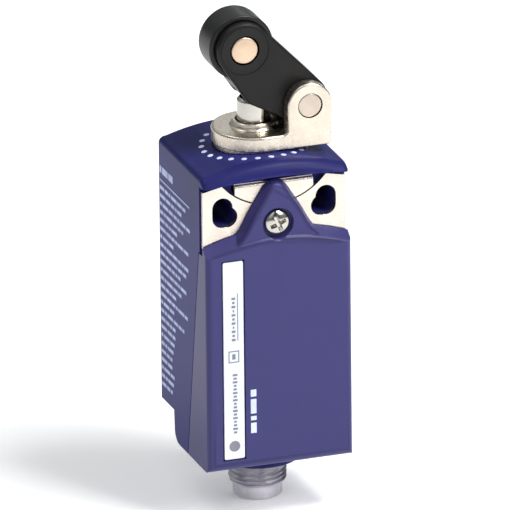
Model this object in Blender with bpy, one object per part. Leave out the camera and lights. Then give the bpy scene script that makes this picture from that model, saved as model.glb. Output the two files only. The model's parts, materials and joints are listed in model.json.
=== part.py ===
"""Compact limit switch: roller-lever plunger head, screwed-on front cover, M12 connector.

Body frame used below: X to the right, Y to the back, Z up, with Y = 0 halfway through the
body's depth and Z = 0 at its underside. One empty carries the whole assembly and puts the
part's own origin on the back mounting face, midway between the two fixing holes.
"""
import math

import bmesh
import bpy
from mathutils import Matrix, Vector

MM = 0.001

# ---- fits -------------------------------------------------------------------------------
GAP = 0.3 * MM              # clearance between any two pieces that touch or slide
ROUND_STEPS = 32            # sides of a large turned piece
SMALL_STEPS = 16            # sides of a pin, a screw or a small bore

# ---- body -------------------------------------------------------------------------------
BODY_WIDTH = 31 * MM
BODY_DEPTH = 30 * MM
BODY_HEIGHT = 65 * MM       # underside to the crown of the roof, where the head sits
WALL = 2 * MM
ROOF_RADIUS = 46 * MM       # the roof is arched across the width
BROW_THICKNESS = 3.2 * MM   # roof edge that overhangs the front plate
BROW_SETBACK = 1 * MM       # how far it stays behind the cover's face
BROW_DROP = 1.1 * MM        # fall of its lower edge from the middle to the sides
BROW_RADIUS = 2.5 * MM
PLATE_SETBACK = 3 * MM      # cover's face to the front plate's face
CEILING_DROP = 18.5 * MM    # roof crown to the ceiling of the contact chamber
STEP_HEIGHT = 6.5 * MM      # the rear underside is stepped up
STEP_PLACE = 6.3 * MM       # how far behind the middle the step stands
KNUCKLE_RADIUS = 2.8 * MM
FLOOR = 2.7 * MM
SEAM_LOW = 2 * MM           # the cover's seam leans: distance before the middle at the foot
SEAM_HIGH = 10 * MM         # ... and at the ceiling

# ---- fixing holes -----------------------------------------------------------------------
HOLE_DIAMETER = 4.3 * MM
HOLE_DROP = 11.2 * MM       # roof crown to the hole centres
HOLE_SPACING = 20 * MM      # round part of each hole
SLOT_SPACING = 22 * MM      # upright slot of each hole
SLOT_RISE = 2 * MM
ROUND_TRIM = 0.002 * MM     # keeps the round cutter off the slot cutter's edges

# ---- front plate and head lock ----------------------------------------------------------
PLATE_THICKNESS = 1 * MM
PLATE_MARGIN = 0.3 * MM
PLATE_BOTTOM_DROP = 17.4 * MM
PLATE_APEX_DROP = 4.6 * MM
PLATE_APEX = 11 * MM
PLATE_CORNER_FALL = 0.8 * MM
PLATE_ARC_RADIUS = 14.3 * MM
PLATE_ARC_RISE = 9.1 * MM
LOCK_WIDTH = 16.7 * MM
LOCK_THICKNESS = 1.4 * MM
LOCK_REACH = 5 * MM         # tines end this far behind the head's axis

# ---- cover ------------------------------------------------------------------------------
RIDGE_DROP = 16.1 * MM      # roof crown to the middle of the cover's arched top ridge
RIDGE_FALL = 2.8 * MM
SHOULDER_RISE = 1.8 * MM
COVER_FOOT_RADIUS = 2 * MM
TONGUE_CLEARANCE = 0.8 * MM # tip of the tongue to the brow above it
TONGUE_TIP_RADIUS = 1.9 * MM
TONGUE_BASE = 9 * MM        # half width where the tongue leaves the ridge
TONGUE_WAIST = 6.4 * MM     # half width at the screw
TONGUE_TAPER = 1.1 * MM     # the tongue's face is smaller than its foot by this much
SCREW_DROP = 13 * MM
SCREW_HEAD_DIAMETER = 5.4 * MM
SCREW_HEAD_HEIGHT = 1.3 * MM
SCREW_DIAMETER = 3 * MM
SCREW_LENGTH = 8 * MM
SCREW_CROWN_RADIUS = 1.9 * MM
RECESS_HALF_WIDTH = 0.65 * MM
RECESS_REACH = 2 * MM       # half the length of each arm of the cross
RECESS_DEPTH = 0.8 * MM
COUNTERBORE_DEPTH = 1.6 * MM
INSERT_DIAMETER = 5.2 * MM
INSERT_LENGTH = 5.2 * MM
LABEL_LEFT = 12.1 * MM
LABEL_RIGHT = 7.8 * MM
LABEL_FOOT = 2.8 * MM
LABEL_TOP_DROP = 19.8 * MM
LABEL_THICKNESS = 0.3 * MM
GASKET_THICKNESS = 1.2 * MM
GASKET_DEPTH = 2.4 * MM

# ---- head -------------------------------------------------------------------------------
HEAD_RADIUS = 8.65 * MM
HEAD_PLATE = 3.1 * MM
HEAD_LENGTH = 13.8 * MM     # plunger axis to the square end
SPIGOT_RADIUS = 8.2 * MM
SPIGOT_DEPTH = 7.7 * MM
LOCK_GROOVE_DEPTH = 1.9 * MM
SEAL_GROOVE_DEPTH = 1.3 * MM
SEAL_GROOVE_WIDTH = 1.6 * MM
SEAL_GROOVE_DROP = 2 * MM
PLUNGER_BOSS_HEIGHT = 1.3 * MM
PLUNGER_BOSS_WALL = 0.8 * MM
EAR_THICKNESS = 2.9 * MM
EAR_RADIUS = 4.7 * MM
PIVOT_OFFSET = 9.1 * MM     # plunger axis to lever pivot
PIVOT_RISE = 9 * MM         # roof crown to lever pivot
PIVOT_PIN_DIAMETER = 5 * MM

# ---- plunger ----------------------------------------------------------------------------
PLUNGER_DIAMETER = 6.8 * MM
PLUNGER_TOP = 9.45 * MM     # above the roof crown, at rest
PLUNGER_FOOT_DROP = 7 * MM
ROD_DIAMETER = 4 * MM
ROD_BELOW_CEILING = 2 * MM
STROKE = 3.5 * MM
GUIDE_LENGTH = 2.5 * MM
LIP_SEAL_WALL = 0.6 * MM
LIP_SEAL_HEIGHT = 1.4 * MM
SPRING_WIRE = 0.7 * MM
SPRING_TURNS = 5

# ---- lever and roller -------------------------------------------------------------------
HUB_RADIUS = 5 * MM
ROLLER_DIAMETER = 13.6 * MM
ROLLER_WIDTH = 7 * MM
ROLLER_PIN_DIAMETER = 5.6 * MM
ROLLER_X = -3.6 * MM
ROLLER_RISE = 21.3 * MM     # above the roof crown
FORK_RADIUS = 5.7 * MM
NOSE_X = -2 * MM
NOSE_RISE = 10.6 * MM
NOSE_RADIUS = 1.15 * MM
NIB_RADIUS = 1.4 * MM
NIB_SHOULDER = 1.5 * MM     # nib's lowest point to the edge of the room beside it
NIB_ROOM = 4.2 * MM         # ... and to the room's far end

# ---- contact system ---------------------------------------------------------------------
BLOCK_WIDTH = 23.4 * MM
BLOCK_DEPTH = 11.7 * MM
BLOCK_HEIGHT = 26 * MM
BLOCK_DROP = 4.5 * MM       # ceiling to the block's top
CONTACT_SETBACK = 5.3 * MM  # block's front face to the line of the contacts
CARRIER_WIDTH = 6 * MM
CARRIER_DEPTH = 6 * MM
CARRIER_TAIL = 1.5 * MM     # part of the carrier below the block, at rest
BRIDGE_LENGTH = 17.2 * MM
BRIDGE_DEPTH = 3 * MM
STRIP_THICKNESS = 0.8 * MM
TIP_RADIUS = 1.2 * MM
TIP_HEIGHT = 0.5 * MM
TIP_PLACE = 7.3 * MM
UPPER_BRIDGE_DROP = 6 * MM  # block top to the normally closed bridge
LOWER_BRIDGE_DROP = 17 * MM # block top to the normally open bridge
CONTACT_SPRING_LENGTH = 3.7 * MM
CONTACT_SPRING_RADIUS = 1.1 * MM
CONTACT_SPRING_WIRE = 0.4 * MM
CONTACT_SPRING_TURNS = 4
TERMINAL_HEIGHT = 4.8 * MM
TERMINAL_PLACE = 8.4 * MM
TERMINAL_SCREW_DIAMETER = 2.5 * MM
TERMINAL_HEAD_DIAMETER = 4.4 * MM
TERMINAL_HEAD_HEIGHT = 1.6 * MM
TERMINAL_SCREW_LENGTH = 4 * MM
WIRE_DIAMETER = 1.2 * MM

# ---- M12 connector ----------------------------------------------------------------------
THREAD_DIAMETER = 12 * MM
CONNECTOR_LENGTH = 11 * MM  # below the underside
COLLAR_LENGTH = 2.5 * MM
COLLAR_STEP = 1 * MM
SOCKET_DEPTH = 7.5 * MM
SOCKET_WALL = 0.8 * MM
INSERT_SHOULDER = 0.5 * MM
CONNECTOR_HEAD = 6 * MM     # part of the shell above the underside
BOSS_WALL = 3.2 * MM
BOSS_DEPTH = 2.8 * MM
SHELL_FLANGE = 1.2 * MM
SHELL_FLANGE_HEIGHT = 1.3 * MM
NUT_MARGIN = 2 * MM         # nut's width across its flats, beyond the thread
NUT_HEIGHT = 2.5 * MM
PIN_DIAMETER = 1 * MM
PIN_CIRCLE = 2.5 * MM
PIN_LENGTH = 17 * MM
O_RING_WIRE = 0.9 * MM

# ---- places worked out from the sizes above ---------------------------------------------
HALF_WIDTH = BODY_WIDTH / 2
FRONT = -BODY_DEPTH / 2
BACK = BODY_DEPTH / 2
CROWN = BODY_HEIGHT
CEILING = CROWN - CEILING_DROP
HOLE_Z = CROWN - HOLE_DROP
PLATE_FRONT = FRONT + PLATE_SETBACK
PLATE_BACK = PLATE_FRONT + PLATE_THICKNESS
BLOCK_FRONT = PLATE_BACK + GAP
BROW_LOW = CROWN - BROW_THICKNESS
SCREW_Z = CROWN - SCREW_DROP
PLUNGER_RADIUS = PLUNGER_DIAMETER / 2
PLUNGER_BORE = PLUNGER_RADIUS + GAP
SEAT = CROWN + GAP
HEAD_TOP = SEAT + HEAD_PLATE
PIVOT_Z = CROWN + PIVOT_RISE
ROLLER_Z = CROWN + ROLLER_RISE
EAR_INNER = HEAD_RADIUS - EAR_THICKNESS
LEVER_HALF = EAR_INNER - GAP
SPIGOT_BORE = SPIGOT_RADIUS + GAP
SPIGOT_FOOT = SEAT - SPIGOT_DEPTH - GAP
LOCK_TOP = CROWN - PLATE_APEX_DROP
LOCK_CORE = SPIGOT_RADIUS - LOCK_GROOVE_DEPTH
CHAMBER_HALF = HALF_WIDTH - WALL
CHAMBER_BACK = BACK - WALL
BLOCK_TOP = CEILING - BLOCK_DROP
BLOCK_BACK = CHAMBER_BACK - GAP
BLOCK_FACE = BLOCK_BACK - BLOCK_DEPTH
CONTACT_Y = BLOCK_FACE + CONTACT_SETBACK
THREAD_RADIUS = THREAD_DIAMETER / 2
NUT_FLATS = THREAD_DIAMETER + NUT_MARGIN
BOSS_RADIUS = THREAD_RADIUS + BOSS_WALL


# ---- scene and materials ----------------------------------------------------------------
def clear_scene():
    for item in list(bpy.data.objects):
        bpy.data.objects.remove(item, do_unlink=True)


def material(name, colour, roughness, metallic=0.0):
    made = bpy.data.materials.new(name)
    made.use_nodes = True
    shader = made.node_tree.nodes["Principled BSDF"]
    shader.inputs["Base Color"].default_value = (*colour, 1.0)
    shader.inputs["Roughness"].default_value = roughness
    shader.inputs["Metallic"].default_value = metallic
    return made


def axis_empty(name, place, parent=None):
    """An empty on a joint's axis; place is in the body frame."""
    empty = bpy.data.objects.new(name, None)
    bpy.context.collection.objects.link(empty)
    empty["place"] = tuple(place)
    if parent is not None:
        empty.parent = parent
        empty.location = Vector(place) - Vector(parent["place"])
    return empty


# ---- shapes -----------------------------------------------------------------------------
def arc(centre, radius, start, end, steps):
    """Points on a circle from start to end, in degrees."""
    points = []
    for step in range(steps + 1):
        angle = math.radians(start + (end - start) * step / steps)
        points.append((centre[0] + radius * math.cos(angle), centre[1] + radius * math.sin(angle)))
    return points


def circle(centre, radius, steps=ROUND_STEPS):
    return arc(centre, radius, 0, 360, steps)[:-1]


def rectangle(left, right, low, high):
    return [(left, low), (right, low), (right, high), (left, high)]


def spread(along, first, second, axis):
    """A point from its place along an axis and its two places across it."""
    if axis == "X":
        return along, first, second
    if axis == "Y":
        return first, along, second
    return first, second, along


def loft(low_outline, high_outline, low, high, axis):
    """A closed solid between two outlines with the same number of points."""
    bm = bmesh.new()
    start = [bm.verts.new(spread(low, a, b, axis)) for a, b in low_outline]
    end = [bm.verts.new(spread(high, a, b, axis)) for a, b in high_outline]
    bm.faces.new(start)
    bm.faces.new(list(reversed(end)))
    count = len(start)
    for index in range(count):
        following = (index + 1) % count
        bm.faces.new((start[following], start[index], end[index], end[following]))
    bmesh.ops.recalc_face_normals(bm, faces=bm.faces)
    return bm


def prism(outline, low, high, axis):
    return loft(outline, outline, low, high, axis)


def box(x_range, y_range, z_range):
    return prism(rectangle(*x_range, *y_range), z_range[0], z_range[1], "Z")


def turned(profile, axis="Z", centre=(0, 0, 0), steps=ROUND_STEPS):
    """Turns a closed profile of (radius, along) points about an axis through centre."""
    bm = bmesh.new()
    rings = []
    for radius, along in profile:
        if radius <= 0:
            rings.append([bm.verts.new(spread(along, 0, 0, axis))])
        else:
            points = circle((0, 0), radius, steps)
            rings.append([bm.verts.new(spread(along, a, b, axis)) for a, b in points])
    for index, ring in enumerate(rings):
        other = rings[(index + 1) % len(rings)]
        if len(ring) == 1 and len(other) == 1:
            continue
        for step in range(steps):
            corners = []
            for vert in (ring[step % len(ring)], ring[(step + 1) % steps % len(ring)],
                         other[(step + 1) % steps % len(other)], other[step % len(other)]):
                if vert not in corners:
                    corners.append(vert)
            bm.faces.new(corners)
    bmesh.ops.recalc_face_normals(bm, faces=bm.faces)
    bmesh.ops.translate(bm, verts=bm.verts, vec=centre)
    return bm


def cylinder(radius, low, high, axis="Z", centre=(0, 0, 0), steps=ROUND_STEPS):
    return turned([(0, low), (radius, low), (radius, high), (0, high)], axis, centre, steps)


def tube(outer, inner, low, high, axis="Z", centre=(0, 0, 0), steps=ROUND_STEPS):
    return turned([(inner, low), (outer, low), (outer, high), (inner, high)], axis, centre, steps)


def ring(mean_radius, wire, height, steps=ROUND_STEPS):
    """An O-ring lying flat at a height."""
    section = circle((mean_radius, height), wire / 2, 8)
    return turned(section, "Z", (0, 0, 0), steps)


def coil(mean_radius, wire, low, high, turns, centre, around=12, sides=6):
    """A spring: a round wire swept along a helix, with flat ends."""
    bm = bmesh.new()
    rings = []
    rise = high - low - wire
    count = turns * around
    for step in range(count + 1):
        angle = 2 * math.pi * step / around
        middle = low + wire / 2 + rise * step / count
        section = []
        for radius, height in circle((mean_radius, middle), wire / 2, sides):
            x = centre[0] + radius * math.cos(angle)
            y = centre[1] + radius * math.sin(angle)
            section.append(bm.verts.new((x, y, height)))
        rings.append(section)
    for first, second in zip(rings, rings[1:]):
        for side in range(sides):
            other = (side + 1) % sides
            bm.faces.new((first[side], first[other], second[other], second[side]))
    bm.faces.new(rings[0])
    bm.faces.new(rings[-1])
    bmesh.ops.recalc_face_normals(bm, faces=bm.faces)
    return bm


def together(pieces):
    """Several separate bodies in one mesh."""
    bm = bmesh.new()
    for piece in pieces:
        mesh = bpy.data.meshes.new("piece")
        piece.to_mesh(mesh)
        bm.from_mesh(mesh)
        bpy.data.meshes.remove(mesh)
        piece.free()
    return bm


def mirrored(make):
    """The same piece on the left and on the right."""
    return together([make(-1), make(1)])


def span(side, near, far):
    """An X range from near to far on one side."""
    return (side * near, side * far) if side > 0 else (side * far, side * near)


def hull_of_circles(circles, steps=12):
    """The outline of a belt round several circles, given counter-clockwise."""
    outline = []
    count = len(circles)
    leaving = []
    for index in range(count):
        (x0, y0), r0 = circles[index]
        (x1, y1), r1 = circles[(index + 1) % count]
        distance = math.hypot(x1 - x0, y1 - y0)
        heading = math.atan2(y1 - y0, x1 - x0)
        leaving.append(math.degrees(heading - math.acos((r0 - r1) / distance)))
    for index in range(count):
        centre, radius = circles[index]
        start = leaving[index - 1]
        end = leaving[index]
        while end < start:
            end += 360
        outline += arc(centre, radius, start, end, steps)
    return outline


# ---- objects ----------------------------------------------------------------------------
def mesh_object(name, bm, parent, finish=None):
    bmesh.ops.translate(bm, verts=bm.verts, vec=-Vector(parent["place"]))
    mesh = bpy.data.meshes.new(name)
    bm.to_mesh(mesh)
    bm.free()
    made = bpy.data.objects.new(name, mesh)
    bpy.context.collection.objects.link(made)
    made.parent = parent
    if finish is not None:
        mesh.materials.append(finish)
    mesh.shade_smooth()
    mesh.set_sharp_from_angle(angle=math.radians(30))
    return made


def boolean(target, bm, operation):
    """Adds, cuts or keeps what is common; the tool's mesh stays as a hidden guide."""
    label = f"{target.name}_{operation.lower()}_{len(target.modifiers)}"
    guide = mesh_object(label, bm, target.parent)
    guide.hide_render = True
    guide.display_type = "WIRE"
    modifier = target.modifiers.new(label, "BOOLEAN")
    modifier.operation = operation
    modifier.solver = "EXACT"
    modifier.object = guide


def cut(target, bm):
    boolean(target, bm, "DIFFERENCE")


def add(target, bm):
    boolean(target, bm, "UNION")


# ---- heights that follow the arched roof and ridge --------------------------------------
def sag(x, radius):
    return radius - math.sqrt(radius * radius - x * x)


def arched(left, right, crown, fall, steps=16):
    """Points of a parabola-like arch from right to left that falls by fall at half width."""
    points = []
    for step in range(steps + 1):
        x = right + (left - right) * step / steps
        points.append((x, crown - fall * (x / HALF_WIDTH) ** 2))
    return points


def seam_y(z):
    return -(SEAM_LOW + (SEAM_HIGH - SEAM_LOW) * z / CEILING)


# ---- housing ----------------------------------------------------------------------------
def fixing_holes(front, back):
    """Cutters for both fixing holes: an upright slot joined to a round hole."""
    radius = HOLE_DIAMETER / 2
    pieces = []
    for side in (-1, 1):
        slot_x = side * SLOT_SPACING / 2
        slot = arc((slot_x, HOLE_Z), radius, 180, 360, 10)
        slot += arc((slot_x, HOLE_Z + SLOT_RISE), radius, 0, 180, 10)
        pieces.append(prism(slot, front, back, "Y"))
    rounds = []
    for side in (-1, 1):
        outline = circle((side * HOLE_SPACING / 2, HOLE_Z), radius - ROUND_TRIM, 24)
        rounds.append(prism(outline, front - GAP, back + GAP, "Y"))
    return together(pieces), together(rounds)


def side_profile():
    """The housing's outline from the side, as (Y, Z) points."""
    knuckle = (STEP_PLACE - GAP - KNUCKLE_RADIUS, KNUCKLE_RADIUS)
    points = [(-SEAM_LOW, 0)]
    points += arc(knuckle, KNUCKLE_RADIUS, 270, 360, 6)
    points += [(STEP_PLACE, STEP_HEIGHT), (BACK, STEP_HEIGHT), (BACK, CROWN + WALL)]
    brow_front = FRONT + BROW_SETBACK
    points += arc((brow_front + BROW_RADIUS, CROWN - BROW_RADIUS), BROW_RADIUS, 90, 180, 6)
    points += [(brow_front, CEILING), (seam_y(CEILING), CEILING)]
    return points


def chamber_profile():
    """The hollow for the contacts, as (Y, Z) points; it is open to the front."""
    slope = STEP_PLACE - WALL
    return [(FRONT, FLOOR), (slope - KNUCKLE_RADIUS / 2, FLOOR), (slope, STEP_HEIGHT + WALL),
            (CHAMBER_BACK, STEP_HEIGHT + WALL), (CHAMBER_BACK, CEILING + GAP),
            (FRONT, CEILING + GAP)]


def make_housing(frame, finish):
    roof = []
    for step in range(21):
        x = HALF_WIDTH - BODY_WIDTH * step / 20
        roof.append((x, CROWN - sag(x, ROOF_RADIUS)))
    body = prism(side_profile(), -BODY_WIDTH, BODY_WIDTH, "X")
    housing = mesh_object("housing", body, frame, finish)
    front_outline = [(-HALF_WIDTH, -WALL), (HALF_WIDTH, -WALL)] + roof
    boolean(housing, prism(front_outline, FRONT - WALL, BACK + WALL, "Y"), "INTERSECT")
    recess = [(-BODY_WIDTH, CEILING - WALL), (BODY_WIDTH, CEILING - WALL)]
    recess += arched(-BODY_WIDTH, BODY_WIDTH, BROW_LOW, BROW_DROP, 40)
    cut(housing, prism(recess, FRONT - WALL, BLOCK_FRONT, "Y"))
    add(housing, cylinder(BOSS_RADIUS, -BOSS_DEPTH, FLOOR + WALL))
    rear = arc((0, 0), BOSS_RADIUS - GAP, 0, 180, ROUND_STEPS // 2)
    add(housing, prism(rear, FLOOR, STEP_HEIGHT + WALL / 2, "Z"))
    cut(housing, prism(chamber_profile(), -CHAMBER_HALF, CHAMBER_HALF, "X"))
    for cutter in fixing_holes(FRONT, BACK + WALL):
        cut(housing, cutter)
    slide = LOCK_WIDTH / 2 + GAP
    lock_room = (LOCK_TOP - LOCK_THICKNESS - GAP, LOCK_TOP + GAP)
    cut(housing, box((-slide, slide), (FRONT, LOCK_REACH + GAP), lock_room))
    cut(housing, turned(spigot_bore_profile()))
    pocket = INSERT_DIAMETER / 2 + GAP
    pocket_end = BLOCK_FRONT + INSERT_LENGTH + 2 * GAP
    place = (0, 0, SCREW_Z)
    cut(housing, cylinder(pocket, FRONT, pocket_end, "Y", place, SMALL_STEPS))
    nut_room = NUT_FLATS / math.sqrt(3) + GAP
    cut(housing, cylinder(nut_room, FLOOR + GAP / 2, STEP_HEIGHT + 2 * WALL))
    cut(housing, cylinder(THREAD_RADIUS + GAP, -2 * BOSS_DEPTH, 2 * FLOOR))
    flange_room = THREAD_RADIUS + SHELL_FLANGE + GAP
    ring_top = -BOSS_DEPTH + SHELL_FLANGE_HEIGHT + O_RING_WIRE + 2 * GAP
    cut(housing, cylinder(flange_room, -2 * BOSS_DEPTH, ring_top))
    return housing


def spigot_bore_profile():
    """Bore for the head's spigot, the return spring and the plunger's rod."""
    spring_room = PLUNGER_BORE
    guide = ROD_DIAMETER / 2 + GAP
    spring_foot = CEILING + GUIDE_LENGTH
    return [(0, CEILING - WALL), (guide, CEILING - WALL), (guide, spring_foot),
            (spring_room, spring_foot), (spring_room, SPIGOT_FOOT - GAP),
            (SPIGOT_BORE, SPIGOT_FOOT - GAP), (SPIGOT_BORE, CROWN + WALL), (0, CROWN + WALL)]


# ---- front plate and head lock ----------------------------------------------------------
def plate_arc(steps=16):
    """The plate's hollow top edge."""
    centre_z = LOCK_TOP + PLATE_ARC_RISE
    reach = math.degrees(math.acos(PLATE_ARC_RISE / PLATE_ARC_RADIUS))
    return arc((0, centre_z), PLATE_ARC_RADIUS, 270 - reach, 270 + reach, steps)


def make_front_plate(frame, finish):
    half = HALF_WIDTH - PLATE_MARGIN
    low = CROWN - PLATE_BOTTOM_DROP
    corner = (half, LOCK_TOP - PLATE_CORNER_FALL)
    outline = [(-half, low), (half, low), corner, (PLATE_APEX + GAP, LOCK_TOP)]
    outline += list(reversed(plate_arc()))
    outline += [(-PLATE_APEX - GAP, LOCK_TOP), (-corner[0], corner[1])]
    plate = mesh_object("front_plate", prism(outline, PLATE_FRONT, PLATE_BACK, "Y"), frame, finish)
    for cutter in fixing_holes(PLATE_FRONT - WALL, PLATE_BACK + WALL):
        cut(plate, cutter)
    screw = cylinder(SCREW_DIAMETER / 2 + GAP, PLATE_FRONT - WALL, PLATE_BACK + WALL, "Y",
                     (0, 0, SCREW_Z), SMALL_STEPS)
    cut(plate, screw)


def make_head_lock(frame, finish):
    """A bent steel fork whose two tines run in the groove of the head's spigot."""
    half = LOCK_WIDTH / 2
    centre_z = LOCK_TOP + PLATE_ARC_RISE
    radius = PLATE_ARC_RADIUS - GAP
    reach = math.degrees(math.asin(half / radius))
    lip = arc((0, centre_z), radius, 270 - reach, 270 + reach, 12)
    lip += [(half, LOCK_TOP), (-half, LOCK_TOP)]
    lock = mesh_object("head_lock", prism(lip, PLATE_FRONT, PLATE_BACK, "Y"), frame, finish)
    core = LOCK_CORE + GAP
    fork = [(-half, PLATE_FRONT + PLATE_THICKNESS / 2), (half, PLATE_FRONT + PLATE_THICKNESS / 2),
            (half, LOCK_REACH), (core, LOCK_REACH)]
    fork += arc((0, 0), core, 360, 180, 16)
    fork += [(-core, LOCK_REACH), (-half, LOCK_REACH)]
    add(lock, prism(fork, LOCK_TOP - LOCK_THICKNESS, LOCK_TOP, "Z"))


# ---- cover ------------------------------------------------------------------------------
def tongue_outline(shrink):
    """Bell-shaped tongue: straight upper sides, flared foot; every size drawn in by shrink."""
    tip_z = BROW_LOW - TONGUE_CLEARANCE - TONGUE_TIP_RADIUS
    low = CROWN - RIDGE_DROP - RIDGE_FALL
    foot = TONGUE_BASE - shrink
    waist = TONGUE_WAIST - shrink
    radius = TONGUE_TIP_RADIUS - shrink / 2
    flank = math.degrees(math.atan2(tip_z - SCREW_Z, waist - radius))
    right = []
    steps = 6
    for step in range(steps):
        part = step / steps
        x = foot + (waist - foot) * math.sin(part * math.pi / 2)
        right.append((x, low + (SCREW_Z - low) * part))
    right.append((waist, SCREW_Z))
    tip = arc((0, tip_z), radius, 90 - flank, 90 + flank, 8)
    return right + tip + [(-x, z) for x, z in reversed(right)]


def cover_profile():
    """The cover's outline from the side, as (Y, Z) points."""
    top = CEILING - GAP
    foot = arc((FRONT + COVER_FOOT_RADIUS, COVER_FOOT_RADIUS), COVER_FOOT_RADIUS, 180, 270, 6)
    return foot + [(seam_y(0) - GAP, 0), (seam_y(top) - GAP, top), (FRONT, top)]


def make_cover(cover_axis, finish):
    body = prism(cover_profile(), -HALF_WIDTH, HALF_WIDTH, "X")
    cover = mesh_object("front_cover", body, cover_axis, finish)
    slab_back = PLATE_FRONT - GAP
    low = CEILING - 4 * WALL
    edge = [(-HALF_WIDTH, low), (HALF_WIDTH, low)]
    ridge = CROWN - RIDGE_DROP
    front_edge = edge + arched(-HALF_WIDTH, HALF_WIDTH, ridge, RIDGE_FALL)
    back_edge = edge + arched(-HALF_WIDTH, HALF_WIDTH, ridge + SHOULDER_RISE, RIDGE_FALL)
    add(cover, loft(front_edge, back_edge, FRONT, slab_back, "Y"))
    add(cover, loft(tongue_outline(TONGUE_TAPER), tongue_outline(0), FRONT, slab_back, "Y"))
    inner_top = CEILING - WALL
    hollow = [(FRONT + WALL, WALL), (BACK, WALL), (BACK, inner_top), (FRONT + WALL, inner_top)]
    cut(cover, prism(hollow, -CHAMBER_HALF, CHAMBER_HALF, "X"))
    cut(cover, cylinder(BOSS_RADIUS + GAP, -WALL, 2 * WALL))
    sink = SCREW_HEAD_DIAMETER / 2 + GAP
    shank = SCREW_DIAMETER / 2 + GAP
    floor = FRONT + COUNTERBORE_DEPTH
    screw_hole = [(0, FRONT - WALL), (sink, FRONT - WALL), (sink, floor), (shank, floor),
                  (shank, PLATE_FRONT), (0, PLATE_FRONT)]
    cut(cover, turned(screw_hole, "Y", (0, 0, SCREW_Z), 24))
    pocket = label_box(GAP, FRONT - WALL, FRONT + LABEL_THICKNESS + GAP)
    cut(cover, pocket)


def label_box(margin, front, back):
    x_range = (-LABEL_LEFT - margin, -LABEL_RIGHT + margin)
    z_range = (LABEL_FOOT - margin, CROWN - LABEL_TOP_DROP + margin)
    return box(x_range, (front, back), z_range)


def make_cover_fittings(cover_axis, frame, finishes):
    label = label_box(0, FRONT, FRONT + LABEL_THICKNESS)
    mesh_object("label_strip", label, cover_axis, finishes["label"])
    place = (0, 0, SCREW_Z)
    head_back = FRONT + COUNTERBORE_DEPTH - GAP
    head_front = head_back - SCREW_HEAD_HEIGHT
    head = SCREW_HEAD_DIAMETER / 2
    shank = SCREW_DIAMETER / 2
    profile = [(0, head_front), (SCREW_CROWN_RADIUS, head_front), (head, head_front + GAP),
               (head, head_back), (shank, head_back), (shank, head_back + SCREW_LENGTH),
               (0, head_back + SCREW_LENGTH)]
    screw = mesh_object("cover_screw", turned(profile, "Y", place, 24), cover_axis,
                        finishes["steel"])
    depth = (head_front - WALL, head_front + RECESS_DEPTH)
    for across, along in ((RECESS_REACH, RECESS_HALF_WIDTH), (RECESS_HALF_WIDTH, RECESS_REACH)):
        cut(screw, box((-across, across), depth, (SCREW_Z - along, SCREW_Z + along)))
    insert_front = BLOCK_FRONT + GAP
    insert = tube(INSERT_DIAMETER / 2, shank + GAP, insert_front, insert_front + INSERT_LENGTH,
                  "Y", place, SMALL_STEPS)
    mesh_object("screw_insert", insert, frame, finishes["brass"])
    make_gasket(cover_axis, finishes["rubber"])


def make_gasket(cover_axis, finish):
    """A seal inside the seam: one bar at the top and two legs that end beside the boss."""
    outer = CHAMBER_HALF - GAP
    inner = outer - GASKET_THICKNESS
    high = CEILING - WALL - GAP
    low = FLOOR + GAP
    reach = GASKET_DEPTH / 2
    leaning = [(seam_y(low) - reach, low), (seam_y(low) + reach, low),
               (seam_y(high) + reach, high), (seam_y(high) - reach, high)]
    gasket = mesh_object("cover_gasket", prism(leaning, -outer, outer, "X"), cover_axis, finish)
    opening = (low - WALL, high - GASKET_THICKNESS)
    cut(gasket, box((-inner, inner), (FRONT, BACK), opening))


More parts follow.
